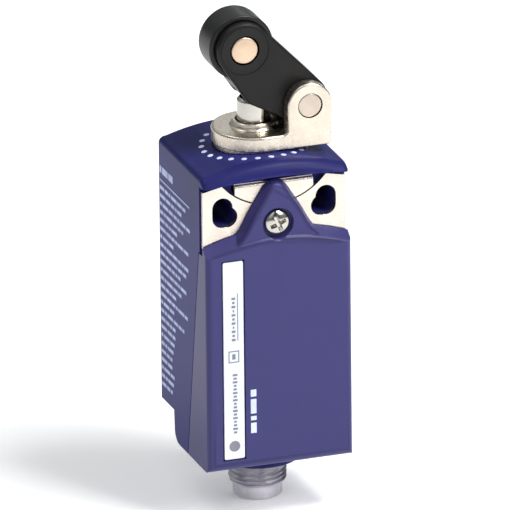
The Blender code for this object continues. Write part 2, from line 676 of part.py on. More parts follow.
# ---- head -------------------------------------------------------------------------------
def make_head(head_axis, finish):
    plate = arc((0, 0), HEAD_RADIUS, 90, 270, 24)
    plate += [(HEAD_LENGTH, -HEAD_RADIUS), (HEAD_LENGTH, HEAD_RADIUS)]
    head = mesh_object("head_base", prism(plate, SEAT, HEAD_TOP, "Z"), head_axis, finish)
    ear_left = PIVOT_OFFSET - EAR_RADIUS
    ear_right = max(HEAD_LENGTH, PIVOT_OFFSET + EAR_RADIUS)
    ear = [(ear_left, SEAT + HEAD_PLATE / 2), (ear_right, SEAT + HEAD_PLATE / 2)]
    ear += arc((PIVOT_OFFSET, PIVOT_Z), EAR_RADIUS, 0, 180, 14)
    for side in (-1, 1):
        y_range = sorted((side * EAR_INNER, side * HEAD_RADIUS))
        add(head, prism(ear, y_range[0], y_range[1], "Y"))
    groove = SPIGOT_RADIUS - SEAL_GROOVE_DEPTH
    groove_top = SEAT - SEAL_GROOVE_DROP + SEAL_GROOVE_WIDTH / 2
    groove_foot = groove_top - SEAL_GROOVE_WIDTH
    lock_top = LOCK_TOP + GAP
    lock_foot = LOCK_TOP - LOCK_THICKNESS - GAP
    boss = PLUNGER_BORE + PLUNGER_BOSS_WALL
    middle = SEAT + HEAD_PLATE / 2
    spigot = [(0, SPIGOT_FOOT), (SPIGOT_RADIUS, SPIGOT_FOOT), (SPIGOT_RADIUS, lock_foot),
              (LOCK_CORE, lock_foot), (LOCK_CORE, lock_top), (SPIGOT_RADIUS, lock_top),
              (SPIGOT_RADIUS, groove_foot), (groove, groove_foot), (groove, groove_top),
              (SPIGOT_RADIUS, groove_top), (SPIGOT_RADIUS, middle), (boss, middle),
              (boss, HEAD_TOP + PLUNGER_BOSS_HEIGHT), (0, HEAD_TOP + PLUNGER_BOSS_HEIGHT)]
    add(head, turned(spigot))
    lip = PLUNGER_BORE + LIP_SEAL_WALL + GAP
    lip_foot = SEAT + GAP
    lip_top = lip_foot + LIP_SEAL_HEIGHT + 2 * GAP
    bore = [(0, SPIGOT_FOOT - WALL), (PLUNGER_BORE, SPIGOT_FOOT - WALL), (PLUNGER_BORE, lip_foot),
            (lip, lip_foot), (lip, lip_top), (PLUNGER_BORE, lip_top),
            (PLUNGER_BORE, HEAD_TOP + 2 * WALL), (0, HEAD_TOP + 2 * WALL)]
    cut(head, turned(bore))
    pin_bore = PIVOT_PIN_DIAMETER / 2 + GAP
    place = (PIVOT_OFFSET, 0, PIVOT_Z)
    cut(head, cylinder(pin_bore, -2 * HEAD_RADIUS, 2 * HEAD_RADIUS, "Y", place, 24))


def make_head_fittings(head_axis, finishes):
    wire = SEAL_GROOVE_DEPTH - GAP
    mean = SPIGOT_BORE - GAP - wire / 2
    mesh_object("head_o_ring", ring(mean, wire, SEAT - SEAL_GROOVE_DROP), head_axis,
                finishes["rubber"])
    lip_foot = SEAT + 2 * GAP
    seal = tube(PLUNGER_BORE + LIP_SEAL_WALL, PLUNGER_BORE, lip_foot, lip_foot + LIP_SEAL_HEIGHT,
                steps=24)
    mesh_object("plunger_seal", seal, head_axis, finishes["rubber"])
    half = HEAD_RADIUS - GAP / 2
    pin = cylinder(PIVOT_PIN_DIAMETER / 2, -half, half, "Y", (PIVOT_OFFSET, 0, PIVOT_Z), 24)
    mesh_object("pivot_pin", pin, head_axis, finishes["pin"])


def make_plunger(plunger_axis, finish):
    rod = ROD_DIAMETER / 2
    top = CROWN + PLUNGER_TOP
    foot = CROWN - PLUNGER_FOOT_DROP
    profile = [(0, CEILING - ROD_BELOW_CEILING), (rod, CEILING - ROD_BELOW_CEILING), (rod, foot),
               (PLUNGER_RADIUS, foot), (PLUNGER_RADIUS, top - GAP), (PLUNGER_RADIUS - GAP, top),
               (0, top)]
    mesh_object("plunger", turned(profile, steps=24), plunger_axis, finish)


def make_return_spring(frame, finish):
    low = CEILING + GUIDE_LENGTH + GAP
    high = CROWN - PLUNGER_FOOT_DROP - GAP
    mean = (ROD_DIAMETER / 2 + PLUNGER_BORE) / 2
    spring = coil(mean, SPRING_WIRE, low, high, SPRING_TURNS, (0, 0))
    mesh_object("return_spring", spring, frame, finish)


# ---- lever and roller -------------------------------------------------------------------
def make_lever(lever_axis, finish):
    pivot = (PIVOT_OFFSET, PIVOT_Z)
    roller = (ROLLER_X, ROLLER_Z)
    nose = (NOSE_X, CROWN + NOSE_RISE)
    circles = [(pivot, HUB_RADIUS), (roller, FORK_RADIUS), (nose, NOSE_RADIUS)]
    outline = hull_of_circles(circles)
    lever = mesh_object("roller_lever", prism(outline, -LEVER_HALF, LEVER_HALF, "Y"), lever_axis,
                        finish)
    slot_half = ROLLER_WIDTH / 2 + GAP
    slot = ROLLER_DIAMETER / 2 + 2 * GAP
    cut(lever, cylinder(slot, -slot_half, slot_half, "Y", (ROLLER_X, 0, ROLLER_Z)))
    # Room for the plunger between the cheeks; the nib is what stays over its middle.
    nib_low = CROWN + PLUNGER_TOP + GAP
    nib = (0, nib_low + NIB_RADIUS)
    edge = PLUNGER_BORE
    room = [(-4 * edge, CROWN), (edge, CROWN), (edge, nib_low + 2 * GAP)]
    room += arc(nib, NIB_RADIUS, -30, -150, 8)
    room += [(-edge, nib_low + NIB_SHOULDER), (-4 * edge, nib_low + NIB_ROOM)]
    cut(lever, prism(room, -edge, edge, "Y"))
    pivot_bore = PIVOT_PIN_DIAMETER / 2 + GAP
    place = (PIVOT_OFFSET, 0, PIVOT_Z)
    cut(lever, cylinder(pivot_bore, -2 * LEVER_HALF, 2 * LEVER_HALF, "Y", place, 24))
    pin_bore = ROLLER_PIN_DIAMETER / 2 + GAP
    place = (ROLLER_X, 0, ROLLER_Z)
    cut(lever, cylinder(pin_bore, -2 * LEVER_HALF, 2 * LEVER_HALF, "Y", place, 24))


def make_roller(lever_axis, roller_axis, finishes):
    place = (ROLLER_X, 0, ROLLER_Z)
    pin = cylinder(ROLLER_PIN_DIAMETER / 2, -LEVER_HALF, LEVER_HALF, "Y", place, 24)
    mesh_object("roller_pin", pin, lever_axis, finishes["pin"])
    half = ROLLER_WIDTH / 2
    rim = ROLLER_DIAMETER / 2
    bore = ROLLER_PIN_DIAMETER / 2 + GAP
    soft = 2 * GAP
    profile = [(bore, -half), (rim - soft, -half), (rim, -half + soft), (rim, half - soft),
               (rim - soft, half), (bore, half)]
    mesh_object("roller", turned(profile, "Y", place, 40), roller_axis, finishes["roller"])


# ---- contact system ---------------------------------------------------------------------
def bridge_levels():
    """For each bridge: its underside, and +1 where its contacts are above it, -1 below."""
    return [(BLOCK_TOP - UPPER_BRIDGE_DROP, 1), (BLOCK_TOP - LOWER_BRIDGE_DROP, -1)]


def contact_spring_range(level, facing):
    """The height range of a bridge's spring, on the side away from its contacts."""
    if facing > 0:
        top = level - GAP
        return top - CONTACT_SPRING_LENGTH, top
    foot = level + STRIP_THICKNESS + GAP
    return foot, foot + CONTACT_SPRING_LENGTH


def strip_level(level, facing):
    """The underside of the fixed strip that faces a bridge."""
    if facing > 0:
        return level + STRIP_THICKNESS + 2 * TIP_HEIGHT + GAP
    return level - STROKE - 2 * TIP_HEIGHT - GAP - STRIP_THICKNESS


def make_block(frame, finish):
    half = BLOCK_WIDTH / 2
    low = BLOCK_TOP - BLOCK_HEIGHT
    body = box((-half, half), (BLOCK_FACE, BLOCK_BACK), (low, BLOCK_TOP))
    block = mesh_object("contact_block", body, frame, finish)
    channel = CARRIER_WIDTH / 2 + GAP
    deep = (CONTACT_Y - CARRIER_DEPTH / 2 - GAP, CONTACT_Y + CARRIER_DEPTH / 2 + GAP)
    cut(block, box((-channel, channel), deep, (low - WALL, BLOCK_TOP + WALL)))
    # The carrier's cap and the plunger's rod sink into this pocket over the stroke.
    pocket = (BLOCK_TOP - STROKE - GAP, BLOCK_TOP + WALL)
    cut(block, box((-channel, channel), (BLOCK_FACE - WALL, CONTACT_Y), pocket))
    aisle = (CONTACT_Y - BRIDGE_DEPTH / 2 - 2 * GAP, CONTACT_Y + BRIDGE_DEPTH / 2 + 2 * GAP)
    for level, facing in bridge_levels():
        strip = strip_level(level, facing)
        reach = sorted((strip + STRIP_THICKNESS / 2 * (1 + facing) + GAP * facing,
                        level - STROKE - TIP_HEIGHT - GAP if facing > 0
                        else level + STRIP_THICKNESS + CONTACT_SPRING_LENGTH))
        cut(block, box((-half - WALL, half + WALL), aisle, reach))
        neck_room = (strip - GAP, strip + STRIP_THICKNESS + GAP)
        inner = TERMINAL_PLACE + TERMINAL_SCREW_DIAMETER / 2 + GAP / 2
        cut(block, mirrored(lambda side: box(span(side, inner, half + WALL),
                                             (BLOCK_FACE - WALL, CONTACT_Y), neck_room)))
    for place in terminal_places():
        hole = cylinder(TERMINAL_SCREW_DIAMETER / 2 + GAP, BLOCK_FACE - WALL,
                        BLOCK_FACE + TERMINAL_SCREW_LENGTH, "Y", place, SMALL_STEPS)
        cut(block, hole)


def terminal_places():
    """Where the four terminal screws stand."""
    places = []
    for level, facing in bridge_levels():
        for side in (-1, 1):
            height = strip_level(level, facing) + STRIP_THICKNESS / 2
            places.append((side * TERMINAL_PLACE, 0, height))
    return places


def make_carrier(carrier_axis, finish):
    half = CARRIER_WIDTH / 2
    deep = (CONTACT_Y - CARRIER_DEPTH / 2, CONTACT_Y + CARRIER_DEPTH / 2)
    top = CEILING - ROD_BELOW_CEILING - GAP
    low = BLOCK_TOP - BLOCK_HEIGHT - CARRIER_TAIL
    post = ROD_DIAMETER / 2
    body = box((-half, half), deep, (low, BLOCK_TOP + GAP))
    carrier = mesh_object("contact_carrier", body, carrier_axis, finish)
    # A cap over the block reaches forward to stand under the plunger's rod.
    cap = (BLOCK_TOP + GAP / 2, top)
    add(carrier, box((-half, half), (-post, deep[1]), cap))
    window = (CONTACT_Y - BRIDGE_DEPTH / 2 - GAP, CONTACT_Y + BRIDGE_DEPTH / 2 + GAP)
    for level, facing in bridge_levels():
        spring_low, spring_high = contact_spring_range(level, facing)
        if facing > 0:
            z_range = (spring_low - GAP, level + STRIP_THICKNESS + GAP)
        else:
            z_range = (level - GAP, spring_high + GAP)
        cut(carrier, box((-CARRIER_WIDTH, CARRIER_WIDTH), window, z_range))


def make_moving_contacts(carrier_axis, finishes):
    half = BRIDGE_LENGTH / 2
    deep = (CONTACT_Y - BRIDGE_DEPTH / 2, CONTACT_Y + BRIDGE_DEPTH / 2)
    for (level, facing), place_name in zip(bridge_levels(), ("upper", "lower")):
        bar = box((-half, half), deep, (level, level + STRIP_THICKNESS))
        bridge = mesh_object(f"{place_name}_bridge", bar, carrier_axis, finishes["copper"])
        middle = level + STRIP_THICKNESS / 2
        end = middle + facing * (STRIP_THICKNESS / 2 + TIP_HEIGHT)
        for side in (-1, 1):
            place = (side * TIP_PLACE, CONTACT_Y, 0)
            tip = cylinder(TIP_RADIUS, *sorted((middle, end)), "Z", place, SMALL_STEPS)
            add(bridge, tip)
        low, high = contact_spring_range(level, facing)
        spring = coil(CONTACT_SPRING_RADIUS, CONTACT_SPRING_WIRE, low, high,
                      CONTACT_SPRING_TURNS, (0, CONTACT_Y), 10, 5)
        mesh_object(f"{place_name}_contact_spring", spring, carrier_axis, finishes["steel"])


def make_fixed_contact(name, level, facing, side, frame, finish):
    """A blade under or over the bridge, a neck past the block and a terminal plate."""
    outer = BLOCK_WIDTH / 2 - GAP
    inner = TIP_PLACE - TIP_RADIUS
    neck = TERMINAL_PLACE + TERMINAL_SCREW_DIAMETER / 2 + GAP
    back = CONTACT_Y + BRIDGE_DEPTH / 2
    front = CONTACT_Y - BRIDGE_DEPTH / 2
    plate_back = BLOCK_FACE - GAP
    plate_front = plate_back - STRIP_THICKNESS
    low = strip_level(level, facing)
    middle = low + STRIP_THICKNESS / 2
    outline = [(inner, front), (neck, front), (neck, plate_front + GAP),
               (outer, plate_front + GAP), (outer, back), (inner, back)]
    outline = [(side * x, y) for x, y in outline]
    blade = prism(outline, low, low + STRIP_THICKNESS, "Z")
    contact = mesh_object(name, blade, frame, finish)
    height = (middle - TERMINAL_HEIGHT / 2, middle + TERMINAL_HEIGHT / 2)
    add(contact, box(span(side, inner, outer), (plate_front, plate_back), height))
    tip_end = middle - facing * (STRIP_THICKNESS / 2 + TIP_HEIGHT)
    tip_place = (side * TIP_PLACE, CONTACT_Y, 0)
    tip = cylinder(TIP_RADIUS - GAP / 2, *sorted((middle, tip_end)), "Z", tip_place, SMALL_STEPS)
    add(contact, tip)
    hole = cylinder(TERMINAL_SCREW_DIAMETER / 2 + GAP, plate_front - WALL, BLOCK_FACE, "Y",
                    (side * TERMINAL_PLACE, 0, middle), SMALL_STEPS)
    cut(contact, hole)


def make_terminals(frame, finishes):
    shank = TERMINAL_SCREW_DIAMETER / 2
    head = TERMINAL_HEAD_DIAMETER / 2
    head_back = BLOCK_FACE - STRIP_THICKNESS - 2 * GAP
    head_front = head_back - TERMINAL_HEAD_HEIGHT
    tip = head_back + TERMINAL_SCREW_LENGTH
    profile = [(0, head_front), (head, head_front), (head, head_back), (shank, head_back),
               (shank, tip), (0, tip)]
    for index, place in enumerate(terminal_places()):
        level, facing = bridge_levels()[index // 2]
        side = (-1, 1)[index % 2]
        make_fixed_contact(f"fixed_contact_{index + 1}", level, facing, side, frame,
                           finishes["copper"])
        screw = turned(profile, "Y", place, SMALL_STEPS)
        mesh_object(f"terminal_screw_{index + 1}", screw, frame, finishes["steel"])


# ---- connector --------------------------------------------------------------------------
def connector_bore():
    return THREAD_RADIUS - COLLAR_STEP - SOCKET_WALL


def make_connector(frame, finishes):
    foot = -CONNECTOR_LENGTH
    collar = THREAD_RADIUS - COLLAR_STEP
    flange = THREAD_RADIUS + SHELL_FLANGE
    flange_foot = -BOSS_DEPTH
    flange_top = flange_foot + SHELL_FLANGE_HEIGHT
    bore = connector_bore()
    seat = foot + SOCKET_DEPTH
    wide = bore + INSERT_SHOULDER
    profile = [(bore, foot), (collar, foot), (collar, foot + COLLAR_LENGTH),
               (THREAD_RADIUS, foot + COLLAR_LENGTH), (THREAD_RADIUS, flange_foot),
               (flange, flange_foot), (flange, flange_top), (THREAD_RADIUS, flange_top),
               (THREAD_RADIUS, CONNECTOR_HEAD), (wide, CONNECTOR_HEAD), (wide, seat), (bore, seat)]
    mesh_object("connector_shell", turned(profile), frame, finishes["connector"])
    seal_mean = THREAD_RADIUS + GAP + O_RING_WIRE / 2
    seal = ring(seal_mean, O_RING_WIRE, flange_top + GAP + O_RING_WIRE / 2)
    mesh_object("connector_o_ring", seal, frame, finishes["rubber"])
    corner = NUT_FLATS / math.sqrt(3)
    low = FLOOR + GAP
    hexagon = prism(circle((0, 0), corner, 6), low, low + NUT_HEIGHT, "Z")
    nut = mesh_object("connector_nut", hexagon, frame, finishes["steel"])
    cut(nut, cylinder(THREAD_RADIUS + GAP, 0, 2 * CONNECTOR_HEAD))
    insert_foot = seat + GAP
    insert_top = CONNECTOR_HEAD + WALL / 2
    body = cylinder(wide - GAP, insert_foot, insert_top)
    insert = mesh_object("connector_insert", body, frame, finishes["insert"])
    pin_top = insert_top + WALL / 2
    for index, (x, y) in enumerate(pin_places()):
        hole = cylinder(PIN_DIAMETER / 2 + GAP, foot, 2 * CONNECTOR_HEAD, "Z", (x, y, 0), 12)
        cut(insert, hole)
        pin = pin_solid(x, y, pin_top - PIN_LENGTH, pin_top)
        mesh_object(f"connector_pin_{index + 1}", pin, frame, finishes["gold"])


def pin_places():
    """The four pins: rear right, rear left, front left and front right."""
    return arc((0, 0), PIN_CIRCLE, 45, 405, 4)[:-1]


def pin_solid(x, y, low, high):
    radius = PIN_DIAMETER / 2
    profile = [(0, low), (radius / 2, low), (radius, low + radius), (radius, high), (0, high)]
    return turned(profile, "Z", (x, y, 0), 12)


# ---- wires ------------------------------------------------------------------------------
def smooth_points(points, per_span=5):
    """Catmull-Rom curve through the given points."""
    knots = [Vector(point) for point in points]
    knots = [2 * knots[0] - knots[1]] + knots + [2 * knots[-1] - knots[-2]]
    route = []
    for before, start, end, after in zip(knots, knots[1:], knots[2:], knots[3:]):
        for step in range(per_span):
            t = step / per_span
            blend = 2 * start + (end - before) * t
            blend += (2 * before - 5 * start + 4 * end - after) * t ** 2
            blend += (3 * start - before - 3 * end + after) * t ** 3
            route.append(blend / 2)
    route.append(knots[-2])
    return route


def wire_route(terminal, pin):
    """From under a terminal screw, down in front of the block, to a connector pin."""
    side = 1 if terminal[0] > 0 else -1
    start_z = terminal[2] - TERMINAL_HEAD_DIAMETER / 2 - WIRE_DIAMETER
    lane = BLOCK_FACE - STRIP_THICKNESS - 2 * GAP - WIRE_DIAMETER
    outer = terminal[2] > BLOCK_TOP - BLOCK_HEIGHT / 2
    out = lane - (TERMINAL_HEAD_HEIGHT + WIRE_DIAMETER if outer else 0)
    shift = side * (WIRE_DIAMETER * 1.5 if outer else 0)
    pin_top = CONNECTOR_HEAD + WALL + GAP
    block_foot = BLOCK_TOP - BLOCK_HEIGHT
    low = max(min(block_foot, start_z) - WIRE_DIAMETER, pin_top + 5 * WIRE_DIAMETER)
    bend = max(start_z - 3 * WIRE_DIAMETER, (start_z + low) / 2)
    return [(terminal[0], lane, start_z),
            (terminal[0] + shift, out, bend),
            (terminal[0] + shift, out, low),
            ((terminal[0] + pin[0]) / 2, (out + pin[1]) / 2, pin_top + 3.2 * WIRE_DIAMETER),
            (pin[0], pin[1], pin_top + 1.6 * WIRE_DIAMETER),
            (pin[0], pin[1], pin_top)]


def make_wires(frame, finish):
    radius = WIRE_DIAMETER / 2
    rear_right, rear_left, front_left, front_right = pin_places()
    targets = [front_left, front_right, rear_left, rear_right]
    for index, (terminal, pin) in enumerate(zip(terminal_places(), targets)):
        wire = swept(smooth_points(wire_route(terminal, pin)), radius)
        mesh_object(f"internal_wire_{index + 1}", wire, frame, finish)


def swept(route, radius, sides=8):
    """A round bar along a route of points."""
    bm = bmesh.new()
    rings = []
    across = Vector((1, 0, 0))
    for index, point in enumerate(route):
        ahead = route[min(index + 1, len(route) - 1)] - route[max(index - 1, 0)]
        ahead.normalize()
        across = (across - ahead * across.dot(ahead)).normalized()
        other = ahead.cross(across)
        section = []
        for a, b in circle((0, 0), radius, sides):
            section.append(bm.verts.new(point + across * a + other * b))
        rings.append(section)
    for first, second in zip(rings, rings[1:]):
        for side in range(sides):
            following = (side + 1) % sides
            bm.faces.new((first[side], first[following], second[following], second[side]))
    bm.faces.new(rings[0])
    bm.faces.new(rings[-1])
    bmesh.ops.recalc_face_normals(bm, faces=bm.faces)
    bmesh.ops.triangulate(bm, faces=bm.faces)
    return bm


# ---- assembly ---------------------------------------------------------------------------
def make_finishes():
    return {
        "body": material("violet blue moulding", (0.055, 0.06, 0.25), 0.45),
        "cover": material("violet blue cover", (0.07, 0.065, 0.21), 0.45),
        "plate": material("zinc plated steel", (0.80, 0.77, 0.70), 0.3, 1.0),
        "steel": material("bright steel", (0.72, 0.72, 0.70), 0.25, 1.0),
        "zinc": material("zinc die casting", (0.74, 0.74, 0.71), 0.3, 1.0),
        "pin": material("turned steel pin", (0.80, 0.70, 0.60), 0.35, 1.0),
        "brass": material("brass", (0.72, 0.52, 0.22), 0.35, 1.0),
        "copper": material("copper alloy", (0.75, 0.38, 0.20), 0.35, 1.0),
        "gold": material("gold plating", (0.85, 0.62, 0.22), 0.3, 1.0),
        "connector": material("nickel plated brass", (0.45, 0.45, 0.46), 0.4, 1.0),
        "lever": material("black acetal lever", (0.025, 0.025, 0.025), 0.4),
        "roller": material("black acetal roller", (0.022, 0.022, 0.022), 0.45),
        "rubber": material("black rubber", (0.02, 0.02, 0.02), 0.8),
        "label": material("white label", (0.78, 0.81, 0.84), 0.5),
        "block": material("cream moulding", (0.75, 0.70, 0.58), 0.6),
        "carrier": material("red moulding", (0.45, 0.06, 0.05), 0.5),
        "insert": material("black moulding", (0.03, 0.03, 0.03), 0.6),
        "wire": material("wire insulation", (0.25, 0.12, 0.06), 0.6),
    }


def main():
    clear_scene()
    finishes = make_finishes()
    frame = axis_empty("switch_frame", (0, 0, 0))
    frame.location = (0, -BACK, -HOLE_Z)
    cover_axis = axis_empty("cover_axis", (0, FRONT, HOLE_Z), frame)
    head_axis = axis_empty("head_axis", (0, 0, CROWN), frame)
    plunger_axis = axis_empty("plunger_axis", (0, 0, CROWN), head_axis)
    carrier_axis = axis_empty("carrier_axis", (0, CONTACT_Y, BLOCK_TOP), frame)
    lever_axis = axis_empty("lever_axis", (PIVOT_OFFSET, 0, PIVOT_Z), head_axis)
    roller_axis = axis_empty("roller_axis", (ROLLER_X, 0, ROLLER_Z), lever_axis)

    make_housing(frame, finishes["body"])
    make_front_plate(frame, finishes["plate"])
    make_head_lock(frame, finishes["steel"])
    make_cover(cover_axis, finishes["cover"])
    make_cover_fittings(cover_axis, frame, finishes)
    make_head(head_axis, finishes["zinc"])
    make_head_fittings(head_axis, finishes)
    make_plunger(plunger_axis, finishes["steel"])
    make_return_spring(frame, finishes["steel"])
    make_lever(lever_axis, finishes["lever"])
    make_roller(lever_axis, roller_axis, finishes)
    make_block(frame, finishes["block"])
    make_carrier(carrier_axis, finishes["carrier"])
    make_moving_contacts(carrier_axis, finishes)
    make_terminals(frame, finishes)
    make_connector(frame, finishes)
    make_wires(frame, finishes["wire"])


main()
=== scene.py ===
"""Looks for the limit switch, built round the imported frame.

Geometry is written in millimetres in the body frame: X right, Y back with 0 halfway through the
body, Z up from the cover's foot. place() turns it into metres in the shared frame.
"""
import json
import math

import bmesh
import bpy
from mathutils import Matrix, Quaternion, Vector


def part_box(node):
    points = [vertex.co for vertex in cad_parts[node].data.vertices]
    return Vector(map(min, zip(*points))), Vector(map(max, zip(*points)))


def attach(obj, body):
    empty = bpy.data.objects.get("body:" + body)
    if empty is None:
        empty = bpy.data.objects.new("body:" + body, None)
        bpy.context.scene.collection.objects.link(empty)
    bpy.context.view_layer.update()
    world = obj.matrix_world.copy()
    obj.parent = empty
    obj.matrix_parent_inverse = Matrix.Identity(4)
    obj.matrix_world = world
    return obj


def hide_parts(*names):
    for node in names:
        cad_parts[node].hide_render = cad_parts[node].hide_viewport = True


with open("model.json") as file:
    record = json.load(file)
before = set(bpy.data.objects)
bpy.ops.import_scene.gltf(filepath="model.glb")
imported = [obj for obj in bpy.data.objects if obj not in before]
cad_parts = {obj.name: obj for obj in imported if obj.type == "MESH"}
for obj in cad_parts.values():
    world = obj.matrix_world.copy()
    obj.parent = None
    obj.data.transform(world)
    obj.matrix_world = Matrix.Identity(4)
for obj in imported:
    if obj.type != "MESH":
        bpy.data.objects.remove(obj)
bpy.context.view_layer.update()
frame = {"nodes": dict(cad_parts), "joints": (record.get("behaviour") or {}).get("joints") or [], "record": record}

MM = 0.001

# ---- places read from the frame ---------------------------------------------------------
JOINTS = {joint["name"]: joint for joint in frame["joints"]}
COVER_LOW, COVER_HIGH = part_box("front_cover")
HOUSING_LOW, HOUSING_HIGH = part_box("housing")
ORIGIN = Vector((0, (COVER_LOW.y + HOUSING_HIGH.y) / 2, COVER_LOW.z))


def local(point):
    """A shared-frame point in metres, as body-frame millimetres."""
    return (Vector(point) - ORIGIN) / MM


def local_box(node):
    low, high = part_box(node)
    return local(low), local(high)


HALF_WIDTH = (HOUSING_HIGH.x - HOUSING_LOW.x) / 2 / MM
FRONT = local(COVER_LOW).y
BACK = local(HOUSING_HIGH).y
CROWN = local(JOINTS["head_turn"]["pos_m"]).z
PIVOT = local(JOINTS["lever_press"]["pos_m"])
ROLLER = local(JOINTS["roller_spin"]["pos_m"])
PLATE_LOW, PLATE_HIGH = local_box("front_plate")
LOCK_HIGH = local_box("head_lock")[1]
HEAD_HIGH = local_box("head_base")[1]
LEVER_HIGH = local_box("roller_lever")[1]
ROLLER_LOW, ROLLER_HIGH = local_box("roller")
PLUNGER_LOW, PLUNGER_HIGH = local_box("plunger")
SCREW_LOW, SCREW_HIGH = local_box("cover_screw")
LABEL_LOW, LABEL_HIGH = local_box("label_strip")
SHELL_LOW, SHELL_HIGH = local_box("connector_shell")
INSERT_HIGH = local_box("screw_insert")[1]

# ---- sizes in millimetres ---------------------------------------------------------------
GAP = 0.3
WALL = 2.0
FAR = 20
BEYOND = 5
BELOW = -6
BODY_CORNER = 1.3
HEEL_RADIUS = 1.2
ROOF_RADIUS = 46.0
CEILING = CROWN - 18.5
BROW_FRONT = FRONT + 1.0
BROW_LOW = CROWN - 3.2
BROW_FALL = 1.1
BROW_RADIUS = 3.2
STEP_HEIGHT = 6.5
STEP_PLACE = 6.3
KNUCKLE_RADIUS = 2.8
FLOOR = 2.7
SEAM_LOW = 2.0
SEAM_HIGH = 10.0
HOLE_Z = CROWN - 11.2
HOLE_RADIUS = 2.15
HOLE_X = 10.0
SLOT_X = 11.0
SLOT_RISE = 2.0
RIDGE = CROWN - 16.1
RIDGE_FALL = 2.8
SHOULDER = 1.8
PLUNGER_RADIUS = (PLUNGER_HIGH.x - PLUNGER_LOW.x) / 2
SPIGOT_RADIUS = 8.2
HEAD_RADIUS = HEAD_HIGH.y
HEAD_TOP = CROWN + 3.4
EAR_INNER = HEAD_RADIUS - 2.9
EAR_RADIUS = HEAD_HIGH.z - PIVOT.z
LEVER_HALF = LEVER_HIGH.y
ROLLER_RADIUS = (ROLLER_HIGH.x - ROLLER_LOW.x) / 2
ROLLER_HALF = ROLLER_HIGH.y
THREAD_RADIUS = 6.0
BOSS_RADIUS = 9.2
BOSS_FOOT = -2.8
SPIGOT_FOOT = 57.0
NUT_FLATS = 14
NUT_TOP = 10.5
INSERT_BORE = 2.9
SCREW_Z = (SCREW_LOW.z + SCREW_HIGH.z) / 2
SCREW_HOLE = 1.8
SCREW_SHANK = 1.5
CROSS_TURN = 22
CROSS_SECTIONS = ((-1, 0.62, 2.2), (0.1, 0.45, 1.9), (1.2, 0.28, 1.1))
ARC_RISE = 9.1
ARC_RADIUS = 14.3
ARC_EDGE = 11.3
LOCK_THICKNESS = 1.4
LOCK_BORE = 6.6
PIVOT_PIN_RADIUS = 2.5
PIVOT_BORE = 2.62
LEVER_EYE = 5.0
LEVER_END = 5.7
LEVER_NOSE = 1.15
LEVER_BORE = 2.8
NIB_RADIUS = 1.4
ROLLER_BORE = 3.1
THREAD_PITCH = 1.0
THREAD_DEPTH = 0.5
MARK_LIFT = 0.03
DOT_COUNT = 24
DOT_RING = 10.6


# ---- outlines ---------------------------------------------------------------------------
def arc(centre, radius, start, end, steps):
    """Points along an arc between two angles in degrees."""
    points = []
    for step in range(steps + 1):
        angle = math.radians(start + (end - start) * step / steps)
        points.append((centre[0] + radius * math.cos(angle), centre[1] + radius * math.sin(angle)))
    return points


def circle(centre, radius, steps=64):
    return arc(centre, radius, 0, 360, steps)[:-1]


def spread(along, first, second, axis):
    """A point from its place along an axis and its two other coordinates."""
    if axis == "X":
        return along, first, second
    if axis == "Y":
        return first, along, second
    return first, second, along


def area(points):
    """The outline's area, positive when it runs counter-clockwise."""
    total = 0
    for (x0, y0), (x1, y1) in zip(points, points[1:] + points[:1]):
        total += x0 * y1 - x1 * y0
    return total / 2


def inset(points, distance):
    """Moves every side of a closed outline inwards by a distance."""
    turn = 1 if area(points) > 0 else -1
    moved = []
    count = len(points)
    for index in range(count):
        before = Vector(points[index - 1])
        here = Vector(points[index])
        after = Vector(points[(index + 1) % count])
        first = (here - before).normalized()
        second = (after - here).normalized()
        normal_a = Vector((-first.y, first.x)) * turn
        normal_b = Vector((-second.y, second.x)) * turn
        middle = (normal_a + normal_b).normalized()
        reach = distance / max(middle.dot(normal_a), 0.5)
        moved.append(tuple(here + middle * reach))
    return moved


def hull_of_circles(circles, steps=24):
    """The outline of a belt round several circles, given counter-clockwise."""
    leaving = []
    count = len(circles)
    for index in range(count):
        (x0, y0), r0 = circles[index]
        (x1, y1), r1 = circles[(index + 1) % count]
        distance = math.hypot(x1 - x0, y1 - y0)
        heading = math.atan2(y1 - y0, x1 - x0)
        leaving.append(math.degrees(heading - math.acos((r0 - r1) / distance)))
    outline = []
    for index in range(count):
        centre, radius = circles[index]
        start = leaving[index - 1]
        end = leaving[index]
        while end < start:
            end += 360
        outline += arc(centre, radius, start, end, steps)
    return outline


def arched(left, right, crown, fall, steps):
    """A shallow arch from right to left that falls away on both sides of the middle."""
    points = []
    for step in range(steps + 1):
        x = right + (left - right) * step / steps
        points.append((x, crown - fall * (x / HALF_WIDTH) ** 2))
    return points


def roof_height(x):
    """Height of the arched roof at a distance from the middle."""
    return CROWN - (ROOF_RADIUS - math.sqrt(ROOF_RADIUS ** 2 - x * x))


def seam_y(z):
    """Depth of the leaning seam between housing and cover at a height."""
    return -(SEAM_LOW + (SEAM_HIGH - SEAM_LOW) * z / CEILING)


# ---- solids -----------------------------------------------------------------------------
def bridge(bm, rings):
    """Joins each ring of vertices to the next with four-sided faces."""
    for first, second in zip(rings, rings[1:]):
        count = len(first)
        for index in range(count):
            following = (index + 1) % count
            bm.faces.new((first[index], first[following], second[following], second[index]))


def close_ends(bm, rings):
    """Bridges the rings and closes both ends with a face."""
    bridge(bm, rings)
    bm.faces.new(rings[0])
    bm.faces.new(rings[-1])
    bmesh.ops.recalc_face_normals(bm, faces=bm.faces)
    return bm


def stack(sections, axis):
    """A closed solid through sections of (along, outline), all with the same point count."""
    bm = bmesh.new()
    rings = []
    for along, outline in sections:
        rings.append([bm.verts.new(spread(along, a, b, axis)) for a, b in outline])
    return close_ends(bm, rings)


